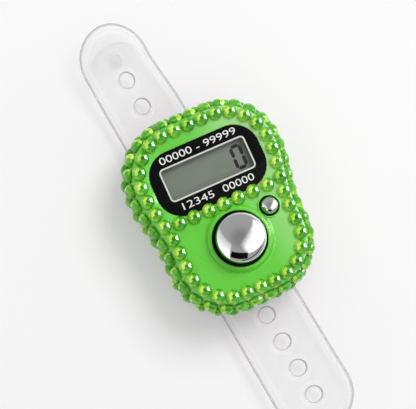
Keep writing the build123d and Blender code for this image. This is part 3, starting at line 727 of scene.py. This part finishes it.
def stone_resin(name, painted_lift):
    """Resin whose facets go from deep to pale by their painted light, all of them painted lighter by a lift."""
    material, shader, place = new_finish(name)
    tone = place.attribute("facet_tone", "Fac")
    shade = place.attribute("stone_shade", "Fac")
    swirl = place.noise(1 / SWIRL_SIZE)
    depth = tone + SHADE_SHARE * (shade - 0.5) + SWIRL_SHARE * (swirl - 0.5) + painted_lift
    set_shader(shader, Base_Color=depth.ramp(STONE_TONES))
    set_shader(shader, Roughness=STONE_ROUGH + SWIRL_ROUGH * swirl, IOR=1.58)
    return material


face_resin = stone_resin("face_stone_resin", 0.0)
side_resin = stone_resin("side_stone_resin_painted_lighter", SIDE_PAINTED_LIGHT)
print("stone resin ready")

# %% [markdown]
# The stones sit in rows, and the CAD model knows where: each stone there is a loose part of its
# node. For every part the thin direction of its points is the way the stone faces. The seats
# become a cloud, with one point a stone and two direction attributes.

# %% Seats of the stones


def loose_parts(mesh):
    """Point groups of a mesh's loose parts."""
    work = bmesh.new()
    work.from_mesh(mesh)
    weld(work)
    left = set(work.verts)
    parts = []
    while left:
        reached = {left.pop()}
        edge = list(reached)
        while edge:
            found = {e.other_vert(v) for v in edge for e in v.link_edges} - reached
            reached |= found
            edge = list(found)
        left -= reached
        parts.append(np.array([v.co[:] for v in reached]))
    work.free()
    return parts


def stone_seat(points):
    """Middle of a stone's back and the way it faces; the back is the wide end."""
    middle = points.mean(0)
    axis = np.linalg.svd(points - middle)[2][2]
    heights = (points - middle) @ axis
    spread = np.linalg.norm(points - middle - np.outer(heights, axis), axis=1)
    if (heights * (spread - spread.mean())).sum() > 0:
        axis, heights = -axis, -heights
    return middle + axis * heights.min(), axis


def seat_cloud(node, along):
    """Object with one point a stone and its two directions."""
    seats = [stone_seat(points) for points in loose_parts(frame["nodes"][node].data)]
    seats.sort(key=lambda seat: math.atan2(seat[0][1], seat[0][0]))
    mesh = bpy.data.meshes.new(node + "_seats")
    mesh.from_pydata([seat[0] for seat in seats], [], [])
    ways = {"facing": [seat[1] for seat in seats], "turned": [along(seat[1]) for seat in seats]}
    for name, vectors in ways.items():
        attribute = mesh.attributes.new(name, "FLOAT_VECTOR", "POINT")
        attribute.data.foreach_set("vector", np.array(vectors).ravel())
    print(node, len(seats), "seats")
    return new_object(node + "_seats", mesh)


print("seat helpers ready")

# %% [markdown]
# A row of stones could be copied in a loop, but a Geometry Nodes tree keeps it one recipe: it
# puts a stone on every seat, turned by the two directions and then a little by chance, as glue
# and tweezers leave it, and gives each stone a shade of its own.

# %% Geometry Nodes tree that sets the stones
SETTING_INPUTS = {
    "Seats": "Geometry", "Stone": "Object", "Wobble": "Float", "Seed": "Int", "Resin": "Material",
}


def stone_setting_tree():
    """Tree that turns a cloud of seats into stones."""
    tree = bpy.data.node_groups.new("stone_setting", "GeometryNodeTree")
    for name, kind in SETTING_INPUTS.items():
        tree.interface.new_socket(name, in_out="INPUT", socket_type="NodeSocket" + kind)
    tree.interface.new_socket("Stones", in_out="OUTPUT", socket_type="NodeSocketGeometry")
    given = tree.nodes.new("NodeGroupInput").outputs
    start, stone, wobble, seed, resin = [Wire(tree, given[name]) for name in SETTING_INPUTS]

    def direction(name):
        settings = {"data_type": "FLOAT_VECTOR"}
        return start.node("GeometryNodeInputNamedAttribute", settings, {"Name": name})

    def chance(low, high, extra):
        index = start.node("GeometryNodeInputIndex", {}, {})
        numbers = {2: low, 3: high, "ID": index, "Seed": extra}
        return start.node("FunctionNodeRandomValue", {"data_type": "FLOAT"}, numbers, output=1)

    axes = {"Primary Axis": direction("facing"), "Secondary Axis": direction("turned")}
    which = {"primary_axis": "Z", "secondary_axis": "X"}
    upright = start.node("FunctionNodeAxesToRotation", which, axes)
    angle = chance(wobble * -1.0, wobble, seed)
    spin = start.node("FunctionNodeAxisAngleToRotation", {}, {"Axis": (0, 0, 1), "Angle": angle})
    local = {"rotation_space": "LOCAL"}
    turn = start.node("FunctionNodeRotateRotation", local, {0: upright, 1: spin})
    toned = start.node(
        "GeometryNodeStoreNamedAttribute", {"data_type": "FLOAT", "domain": "POINT"},
        {"Geometry": start, "Name": "stone_shade", "Value": chance(0.0, 1.0, seed + 1.0)})
    shape = start.node("GeometryNodeObjectInfo", {}, {"Object": stone}, output="Geometry")
    placed = start.node(
        "GeometryNodeInstanceOnPoints", {}, {"Points": toned, "Instance": shape, "Rotation": turn})
    real = start.node("GeometryNodeRealizeInstances", {}, {"Geometry": placed})
    coated = start.node("GeometryNodeSetMaterial", {}, {"Geometry": real, "Material": resin})
    tree.links.new(coated.socket, tree.nodes.new("NodeGroupOutput").inputs["Stones"])
    return tree


setting = stone_setting_tree()
stone_object = new_object("stone_pattern", stone_pattern)
print("tree nodes", len(setting.nodes))

# %% [markdown]
# Two rows lie on the face, where every stone is turned the same way, so that the sparks line up
# as they do in the photograph. Two rows go round the side, where each stone is turned by its wall
# and looser. Every row is made a plain mesh and stands for its CAD node.

# %% Set the four rows
FACE_WOBBLE = math.radians(4.0)
FACE_TURN = math.radians(-10.0)
SIDE_WOBBLE = math.radians(25.0)


def along_face(facing):
    """The same way for all, a crown facet towards the spark panel."""
    return math.cos(FACE_TURN) * picture_right + math.sin(FACE_TURN) * picture_up


def along_wall(facing):
    """Level, along the wall that the stone sits on."""
    return UP.cross(Vector(facing))


def set_row(name, node, resin, along, wobble, seed):
    """Row of stones for one CAD node."""
    cloud = seat_cloud(node, along)
    modifier = cloud.modifiers.new("setting", "NODES")
    modifier.node_group = setting
    values = {"Stone": stone_object, "Wobble": wobble, "Seed": seed, "Resin": resin}
    for item in setting.interface.items_tree:
        if item.in_out == "INPUT" and item.name in values:
            modifier[item.identifier] = values[item.name]
    mesh = plain_mesh(cloud)
    bpy.data.objects.remove(cloud)
    add_piece(name, mesh, resin, "case", "stone", node)


set_row("face_row", "face_stones", face_resin, along_face, FACE_WOBBLE, 1)
set_row("divider_row", "divider_stones", face_resin, along_face, FACE_WOBBLE, 2)
set_row("upper_side_row", "upper_side_stones", side_resin, along_wall, SIDE_WOBBLE, 3)
set_row("lower_side_row", "lower_side_stones", side_resin, along_wall, SIDE_WOBBLE, 4)
bpy.data.objects.remove(stone_object)

# %% [markdown]
# The caps of both buttons are plated plastic, a mirror with a faint haze. Below the rim the stem
# is bare: green like the case, with painted shade that turns it black deep down in the gap, where
# hardly any light comes. One finish does both, with a test on the height.

# %% Chrome plate
CHROME_DARK = (0.80, 0.80, 0.81)
CHROME_LIGHT = (0.86, 0.86, 0.87)
HAZE_SIZE = 0.002
CHROME_ROUGH = 0.05
HAZE_ROUGH = 0.04
STEM_ROUGH = 0.25
STEM_SHADE_FADE = 0.0022


def chrome_plate(name, plated_from):
    """Mirror plate down to a height, and the bare stem below it, with painted shade down the gap."""
    material, shader, place = new_finish(name)
    haze = place.noise(1 / HAZE_SIZE, GRAIN_DETAIL)
    height = place.axes()[2]
    bare = height < plated_from
    plate = haze.blend(CHROME_DARK, CHROME_LIGHT)
    # painted shade: the bare stem goes from case green to black with depth below the plate
    stem = ((plated_from - height) * (1 / STEM_SHADE_FADE)).blend(CASE_GREEN_DEEP, PAINTED_SHADE_BLACK)
    set_shader(shader, Base_Color=bare.blend(plate, stem), Metallic=1 - bare)
    set_shader(shader, Roughness=CHROME_ROUGH + HAZE_ROUGH * haze + STEM_ROUGH * bare)
    return material


print("chrome recipe ready")

# %% [markdown]
# Both buttons are turned shapes: a shallow mirror dome, a small rounded rim and a straight skirt
# on a flange under the face. One profile, spun round the axis, gives a cleaner mirror than CAD
# triangles do, as chrome shows every flat spot.

# %% Turned buttons
TURN_STEPS = 128
ARC_STEPS = 24
RIM_STEPS = 6
FLANGE = 0.0008
BUTTONS = {
    # name: radius, height of the dome, radius of the rim
    "count": (0.00465, 0.0020, 0.0004),
    "reset": (0.00155, 0.0008, 0.0002),
}


def arc(centre, radius, start, end, steps):
    """Points on a flat arc, between two angles."""
    angles = [start + (end - start) * step / steps for step in range(steps + 1)]
    return [(centre[0] + radius * math.cos(t), centre[1] + radius * math.sin(t)) for t in angles]


def turned_mesh(profile, x, y):
    """Closed shape from a profile of (radius, height) points, spun round an upright axis."""
    work = bmesh.new()
    points = [work.verts.new((radius, 0, height)) for radius, height in profile]
    edges = [work.edges.new(pair) for pair in zip(points, points[1:])]
    bmesh.ops.spin(
        work, geom=points + edges, cent=(0, 0, 0), axis=(0, 0, 1), angle=2 * math.pi,
        steps=TURN_STEPS, use_merge=True)
    weld(work)
    bmesh.ops.recalc_face_normals(work, faces=work.faces)
    bmesh.ops.translate(work, verts=work.verts, vec=(x, y, 0))
    mesh = bpy.data.meshes.new("turned")
    work.to_mesh(mesh)
    work.free()
    shade_by_angle(mesh)
    return mesh


def button_mesh(node, radius, dome_height, rim_radius):
    """Dome, rounded rim, skirt and flange of a button, in its CAD box."""
    low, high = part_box(node)
    flange_radius = (high.x - low.x) / 2
    ball = (radius ** 2 + dome_height ** 2) / (2 * dome_height)
    ball_z = high.z - ball
    inner = ball - rim_radius
    rim_x = radius - rim_radius
    meet = math.asin(rim_x / inner)
    rim_centre = (rim_x, ball_z + inner * math.cos(meet))
    dome = arc((0, ball_z), ball, math.pi / 2, math.pi / 2 - meet, ARC_STEPS)
    rim = arc(rim_centre, rim_radius, math.pi / 2 - meet, 0, RIM_STEPS)
    flange_top = low.z + FLANGE
    foot = [(radius, flange_top), (flange_radius, flange_top), (flange_radius, low.z), (0, low.z)]
    return turned_mesh(dome + rim[1:] + foot, (low.x + high.x) / 2, (low.y + high.y) / 2)


for name, (radius, dome, rim) in BUTTONS.items():
    node = name + "_button"
    chrome = chrome_plate(name + "_chrome_plate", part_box(node)[1].z - dome - rim)
    add_piece(name + "_cap", button_mesh(node, radius, dome, rim), chrome, node, "chrome", node)

# %% [markdown]
# Under each button a small silicone dome is the spring, which buckles as the button goes down.
# The CAD dome keeps its height, and a welded copy of it stands for it here, at that same height.

# %% Key springs


def key_spring(name, node, joint):
    """Welded copy of a silicone dome that stands for its CAD node; it looks up the button's travel, which changes
    nothing.
    """
    low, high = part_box(node)
    travel = next(each["range_m"][1] for each in frame["joints"] if each["name"] == joint)
    silicone = inner_finishes["silicone"]
    spring = add_piece(name, welded_copy(node), silicone, "case", "silicone", node)
    1 - travel / (high.z - low.z)
    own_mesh(spring)


key_spring("count_spring", "count_key_dome", "count_press")
key_spring("reset_spring", "reset_key_dome", "reset_press")

# %% [markdown]
# The display is a black gloss panel with a window. Under a clear plate lies the grey liquid
# crystal cell with one dark digit. The plate hardly shows, so it is a thin veil of shine and not
# real glass, which would cost light and time.

# %% Panel, plate and film finishes
PLATE_DARK = (0.86, 0.89, 0.87)
PLATE_LIGHT = (0.92, 0.94, 0.93)
PLATE_CLOUD = 0.004
PLATE_COVER = 0.010
CLOUD_COVER = 0.008


def clear_plate():
    material, shader, place = new_finish("panel_plate_clear")
    cloud = place.noise(1 / PLATE_CLOUD)
    set_shader(shader, Base_Color=cloud.blend(PLATE_DARK, PLATE_LIGHT), Roughness=0.05)
    set_shader(shader, Alpha=PLATE_COVER + CLOUD_COVER * cloud)
    return material


mask_finish = grained(
    "panel_black_gloss", (0.003,) * 3, (0.005, 0.005, 0.0055), 9e-4, (0.16, 0.26),
    Specular_IOR_Level=0.12)
film_finish = grained(
    "display_film", (0.170, 0.202, 0.158), (0.186, 0.222, 0.174), 2e-3, (0.30, 0.42))
ink_finish = grained(
    "digit_ink", (0.004, 0.005, 0.005), (0.010, 0.012, 0.011), 3e-4, (0.5, 0.6),
    Specular_IOR_Level=0.1)
line_finish = grained(
    "window_line_print", (0.62, 0.62, 0.61), (0.70, 0.70, 0.69), 2e-4, (0.4, 0.55))
print_finish = grained(
    "panel_print_white", (0.74, 0.74, 0.73), (0.84, 0.84, 0.83), 1.5e-4, (0.4, 0.55), 3e-6)
coat(frame["nodes"]["display_lens"].data, clear_plate())
coat(frame["nodes"]["lcd_polariser"].data, film_finish)
print("display finishes ready")

# %% [markdown]
# Outlines like the panel, its window, the white line round it and later the strap are flat
# curves with holes: Blender fills a flat curve, leaves its inner loops open, and gives it a
# thickness and a rounded edge.

# %% Flat outlines
CORNER_STEPS = 10


def rounded_loop(width, tall, corner, middle_y):
    """Points of a rectangle with round corners."""
    points = []
    for index, (side_x, side_y) in enumerate(((1, 1), (-1, 1), (-1, -1), (1, -1))):
        centre = (side_x * (width / 2 - corner), middle_y + side_y * (tall / 2 - corner))
        start = math.pi / 2 * index
        points += arc(centre, corner, start, math.pi / 2 * (index + 1), CORNER_STEPS)
    return points


def flat_shape(loops, thickness, bevel, z):
    """Plate from closed outlines, the inner ones as holes, with its middle at a height."""
    curve = bpy.data.curves.new("outline", "CURVE")
    curve.dimensions = "2D"
    curve.fill_mode = "BOTH"
    curve.extrude = thickness / 2 - bevel
    curve.bevel_depth = bevel
    curve.bevel_resolution = 2
    curve.offset = -bevel
    for loop in loops:
        spline = curve.splines.new("POLY")
        spline.points.add(len(loop) - 1)
        for point, (x, y) in zip(spline.points, loop):
            point.co = (x, y, 0, 1)
        spline.use_cyclic_u = True
    return curve_mesh(curve, z)


def curve_mesh(curve, z):
    """Mesh of a flat curve or text, lifted to a height."""
    helper = new_object("helper", curve)
    mesh = plain_mesh(helper)
    bpy.data.objects.remove(helper)
    work = bmesh.new()
    work.from_mesh(mesh)
    weld(work)
    bmesh.ops.translate(work, verts=work.verts, vec=(0, 0, z))
    work.to_mesh(mesh)
    work.free()
    shade_by_angle(mesh)
    return mesh


print("outline helpers ready")

# %% Panel and window line
PANEL_CORNER = 0.0049
PANEL_BEVEL = 0.00004
WINDOW_SIZE = (0.0168, 0.0060)
WINDOW_MIDDLE_Y = 0.0074
WINDOW_CORNER = 0.0006
LINE_WIDTH = 0.00030
PRINT_THICKNESS = 0.00003
mask_low, mask_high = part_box("display_mask")
panel_size = mask_high - mask_low
panel_middle_y = (mask_low.y + mask_high.y) / 2
panel_loop = rounded_loop(panel_size.x, panel_size.y, PANEL_CORNER, panel_middle_y)
window_loop = rounded_loop(*WINDOW_SIZE, WINDOW_CORNER, WINDOW_MIDDLE_Y)
line_sizes = [side + 2 * LINE_WIDTH for side in WINDOW_SIZE]
line_loop = rounded_loop(*line_sizes, WINDOW_CORNER + LINE_WIDTH, WINDOW_MIDDLE_Y)
panel_z = (mask_low.z + mask_high.z) / 2
print_z = mask_high.z + PRINT_THICKNESS / 2
panel = flat_shape([panel_loop, window_loop], panel_size.z, PANEL_BEVEL, panel_z)
line = flat_shape([line_loop, window_loop], PRINT_THICKNESS, 0, print_z)
add_piece("panel_mask", panel, mask_finish, "case", "mask_black", "display_mask")
add_piece("window_line", line, line_finish, "case", "mask_black")

# %% [markdown]
# The digit has the usual seven places for strokes, leaning a little to the right. A nought uses
# all of them but the middle one. Every stroke is a long hexagon, worked out from the digit's
# height, width and stroke width.

# %% Digit
DIGIT_TALL = 0.00485
DIGIT_WIDE = 0.0024
STROKE = 0.00066
STROKE_GAP = 0.00005
DIGIT_LEAN = math.tan(math.radians(1.8))
DIGIT_MIDDLE = (0.00655, 0.00732)
INK_LIFT = 0.00001


def stroke(start, end):
    """Long hexagon between two points, short of both by the gap."""
    start, end = Vector(start), Vector(end)
    run = (end - start).normalized()
    side = Vector((-run.y, run.x)) * STROKE / 2
    tip_a = start + run * STROKE_GAP
    tip_b = end - run * STROKE_GAP
    heel_a = tip_a + run * STROKE / 2
    heel_b = tip_b - run * STROKE / 2
    return [tip_a, heel_a - side, heel_b - side, tip_b, heel_b + side, heel_a + side]


def nought_strokes():
    """Strokes of a leaning nought, as loops on the display."""
    x = (DIGIT_WIDE - STROKE) / 2
    y = (DIGIT_TALL - STROKE) / 2
    ends = (((-x, y), (x, y)), ((x, 0), (x, y)), ((x, -y), (x, 0)))
    ends += (((-x, -y), (x, -y)), ((-x, -y), (-x, 0)), ((-x, 0), (-x, y)))
    loops = [stroke(*pair) for pair in ends]
    middle_x, middle_y = DIGIT_MIDDLE
    return [[(middle_x + p.x + DIGIT_LEAN * p.y, middle_y + p.y) for p in loop] for loop in loops]


film_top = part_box("lcd_polariser")[1].z
digit = flat_shape(nought_strokes(), INK_LIFT, 0, film_top + INK_LIFT / 2)
add_piece("digit_nought", digit, ink_finish, "case", "lcd_grey")

# %% [markdown]
# Panels like this carry a line of white print above and below the window. Plain numbers stand
# there: the range of the count above, and two short rows below. Text is a flat curve too, so it
# is made a mesh, then moved into place.

# %% Panel print
PRINT_TALL = 0.00195
UPPER_PRINT_Y = 0.01195
UPPER_PRINT_WIDE = 0.0155
LOWER_PRINT_X = 0.0042
LOWER_PRINT_Y = 0.0027
LOWER_PRINT_WIDE = 0.0063


def printed_numbers(name, words, middle_x, middle_y, wide):
    """Row of printed numbers with a middle and an overall width."""
    text = bpy.data.curves.new(name, "FONT")
    text.body = words
    text.size = PRINT_TALL
    text.align_x = "CENTER"
    text.align_y = "CENTER"
    text.extrude = PRINT_THICKNESS / 2
    mesh = curve_mesh(text, print_z)
    span = [vertex.co.x for vertex in mesh.vertices]
    stretch = Matrix.Diagonal((wide / (max(span) - min(span)), 1, 1, 1))
    mesh.transform(Matrix.Translation((middle_x, middle_y, 0)) @ stretch)
    add_piece(name, mesh, print_finish, "case", "mask_black")


lower = (LOWER_PRINT_Y, LOWER_PRINT_WIDE)
printed_numbers("upper_numbers", "00000 - 99999", 0.0, UPPER_PRINT_Y, UPPER_PRINT_WIDE)
printed_numbers("lower_left_numbers", "12345", -LOWER_PRINT_X, *lower)
printed_numbers("lower_right_numbers", "00000", LOWER_PRINT_X, *lower)

# %% [markdown]
# The strap is one band of clear soft vinyl with round ends, punched holes, softly rounded edges
# and a stud that buttons into a hole. It is drawn flat as an outline with holes and thickened
# with a rounded edge, because holes are easy to place on a flat band.

# %% Strap outline
STRAP_WIDTH = 0.0149
STRAP_THICKNESS = 0.0014
STRAP_EDGE = 0.00045
HOLE_RADIUS = 0.0015
HOLE_PITCH = 0.00583
HOLE_COUNT = 13
FIRST_HOLE = -0.0395
END_MARGIN = 0.00745
STUD_AFTER = 0.0042
STUD_RADIUS = 0.0013
STUD_LENGTH = 0.0016
STUD_HEAD_RADIUS = 0.00165
STUD_HEAD_THICKNESS = 0.0008
STUD_ROUND = 0.0003
HOLE_STEPS = 28
END_STEPS = 40
last_hole = FIRST_HOLE + HOLE_PITCH * (HOLE_COUNT - 1)
stud_along = last_hole + STUD_AFTER
strap_start = FIRST_HOLE - END_MARGIN
strap_end = stud_along + END_MARGIN


def strap_loops():
    """Outline of the flat strap and its holes; along is the Y axis here."""
    half = STRAP_WIDTH / 2
    outline = arc((0, strap_end - half), half, 0, math.pi, END_STEPS)
    outline += arc((0, strap_start + half), half, math.pi, 2 * math.pi, END_STEPS)
    last_turn = 2 * math.pi * (1 - 1 / HOLE_STEPS)
    holes = []
    for index in range(HOLE_COUNT):
        centre = (0, FIRST_HOLE + HOLE_PITCH * index)
        holes.append(arc(centre, HOLE_RADIUS, 0, last_turn, HOLE_STEPS - 1))
    return [outline, *holes]


def stud_profile():
    """Stem and rounded head under the strap, from inside the band down to the tip."""
    foot = -STRAP_THICKNESS / 2 - STUD_LENGTH
    neck = foot + STUD_HEAD_THICKNESS
    round_x = STUD_HEAD_RADIUS - STUD_ROUND
    head = arc((round_x, neck - STUD_ROUND), STUD_ROUND, math.pi / 2, 0, RIM_STEPS)
    tip = arc((round_x, foot + STUD_ROUND), STUD_ROUND, 0, -math.pi / 2, RIM_STEPS)
    return [(0, 0), (STUD_RADIUS, 0), (STUD_RADIUS, neck), *head, *tip, (0, foot)]


print("strap length", round(strap_end - strap_start, 5))

# %% [markdown]
# The flat band is cut across in steps and bent along its line: straight under the case, curling
# up past the head end. It is a little narrower towards that end, and more so on one side of the
# curl. Every point keeps its flat place as an attribute, for the finish.

# %% Strap bent along its line
CURL_START = 0.024
CURL_RADIUS = 0.050
STRAP_MIDDLE_Z = 0.00235
STRAP_TURN = math.radians(6.5)
STRAP_SIDE = -0.00205
BEND_STEP = 0.0015
TAPER_MIDDLE = 0.985
TAPER = 1.34
CURL_NARROW = 11.0
NARROW_LENGTH = 0.008


def bent(point):
    """Place of a flat strap point after the strap is curled and laid under the case."""
    past_start = max(0.0, point.y - CURL_START)
    curl = past_start / CURL_RADIUS
    up = Vector((0, -math.sin(curl), math.cos(curl)))
    line_y = min(point.y, CURL_START) + CURL_RADIUS * math.sin(curl)
    line_z = STRAP_MIDDLE_Z + CURL_RADIUS * (1 - math.cos(curl))
    width = TAPER_MIDDLE - TAPER * point.y
    if point.x > 0:
        width *= 1 - CURL_NARROW * min(NARROW_LENGTH, past_start)
    return Vector((0, line_y, line_z)) + up * point.z + Vector((point.x * width, 0, 0))


def strap_mesh():
    """Finished strap with its stud."""
    mesh = flat_shape(strap_loops(), STRAP_THICKNESS, STRAP_EDGE, 0)
    work = bmesh.new()
    work.from_mesh(mesh)
    work.from_mesh(turned_mesh(stud_profile(), 0, stud_along))
    cut = CURL_START
    while cut < strap_end:
        geometry = [*work.verts, *work.edges, *work.faces]
        bmesh.ops.bisect_plane(work, geom=geometry, plane_co=(0, cut, 0), plane_no=(0, 1, 0))
        cut += BEND_STEP
    flat_place = work.verts.layers.float_vector.new("flat_place")
    laid = Matrix.Translation((STRAP_SIDE, 0, 0)) @ Matrix.Rotation(STRAP_TURN, 4, "Z")
    for vertex in work.verts:
        vertex[flat_place] = vertex.co
        vertex.co = laid @ bent(vertex.co)
    bmesh.ops.recalc_face_normals(work, faces=work.faces)
    work.to_mesh(mesh)
    work.free()
    shade_by_angle(mesh)
    return mesh


print("strap shape ready")

# %% [markdown]
# Clear vinyl on a pale table shows mostly at its edges, so the finish paints light and shade
# there: a painted dark line where light leaves sideways, a painted bright band and a fainter line
# beside it, and a thin grey over the rest. Each is a share of the distance to the nearest edge, so
# the finish works that out from the flat place: to the straight sides, the round ends, and the
# nearest hole in the row. Hole rims get painted shade on the side towards the light, and an arc
# near the head end is a painted shadow of the curled end.

# %% Clear vinyl and the strap
EDGE_BAND = 0.0024
HOLE_BAND = 0.0013
# painted light and shade of the vinyl by share of the edge distance: dark lines, a bright band, grey over the
# middle
VINYL_PAINTED_LIGHT = greys(
    (0.0, 0.30), (0.14, 0.45), (0.26, 0.90), (0.40, 0.90), (0.46, 0.40), (0.54, 0.92),
    (0.7, 0.93), (1.0, 0.70))
# cover of the vinyl: thin and even over the middle, with painted darker lines at its edges
VINYL_PAINTED_COVER = greys(
    (0.0, 0.42), (0.12, 0.32), (0.24, 0.02), (0.40, 0.02), (0.46, 0.11), (0.54, 0.03),
    (0.9, 0.085))
EDGE_ROUGH = greys((0.0, 0.35), (0.3, 0.0))
VINYL_CLOUD = 0.006
VINYL_ROUGH = 0.08
STUD_FROM = -0.51 * STRAP_THICKNESS
STUD_COVER = 0.05
# painted shade on the hole rims, stronger on the side towards the light
RIM_REACH = 0.0008
RIM_LIGHT_WAY = (0.91, 0.43)
RIM_PAINTED_SHADE = greys((0.0, 0.45), (1.0, 1.7))
# painted shadow of the curled head end on the table, an arc seen through the band
SHADOW_ARC_AFTER = 0.0008
SHADOW_ARC_RADIUS = 0.0070
SHADOW_ARC_BAND = 0.0030
SHADOW_ARC_COVER = greys((0.0, 0.0), (0.05, 0.17), (0.5, 0.06), (1.0, 0.0))


def clear_vinyl():
    material, shader, place = new_finish("strap_clear_vinyl")
    across, along, deep = place.attribute("flat_place", "Vector").axes()
    half = STRAP_WIDTH / 2
    straight = (strap_end - strap_start) / 2 - half
    past = (abs(along - (strap_start + strap_end) / 2) - straight).at_least(0)
    outer = half - (across * across + past * past).root()
    index = ((along - FIRST_HOLE) * (1 / HOLE_PITCH)).nearest(0, HOLE_COUNT - 1)
    beside = along - FIRST_HOLE - HOLE_PITCH * index
    inner = (across * across + beside * beside).root() - HOLE_RADIUS
    share = (outer * (1 / EDGE_BAND)).at_most(inner * (1 / HOLE_BAND))
    near_rim = (1 - inner * (1 / RIM_REACH)).at_least(0)
    lit_side = (across * RIM_LIGHT_WAY[0] + beside * RIM_LIGHT_WAY[1]) * (0.5 / HOLE_RADIUS) + 0.5
    rim = 1 - near_rim * (1 - lit_side.ramp(RIM_PAINTED_SHADE))
    # painted shadow: an arc past the last hole, darkening the band where the curled end's shadow falls
    past_shadow_arc = (along - (last_hole + SHADOW_ARC_AFTER)).at_least(0)
    within = SHADOW_ARC_RADIUS - (across * across + past_shadow_arc * past_shadow_arc).root()
    grown = (past_shadow_arc * (1 / SHADOW_ARC_BAND)).at_most(1)
    painted_shadow = (within * (1 / SHADOW_ARC_BAND)).ramp(SHADOW_ARC_COVER) * grown
    in_stud = deep < STUD_FROM
    cover = (share.ramp(VINYL_PAINTED_COVER) * rim + painted_shadow) * (1 - (1 - STUD_COVER) * in_stud)
    cloud = place.noise(1 / VINYL_CLOUD, GRAIN_DETAIL)
    rough = VINYL_ROUGH + VINYL_ROUGH * cloud + share.ramp(EDGE_ROUGH)
    set_shader(shader, Base_Color=share.ramp(VINYL_PAINTED_LIGHT), Alpha=cover, Roughness=rough, IOR=1.45)
    return material


add_piece("clear_strap", strap_mesh(), clear_vinyl(), "strap", "strap_clear", "strap")
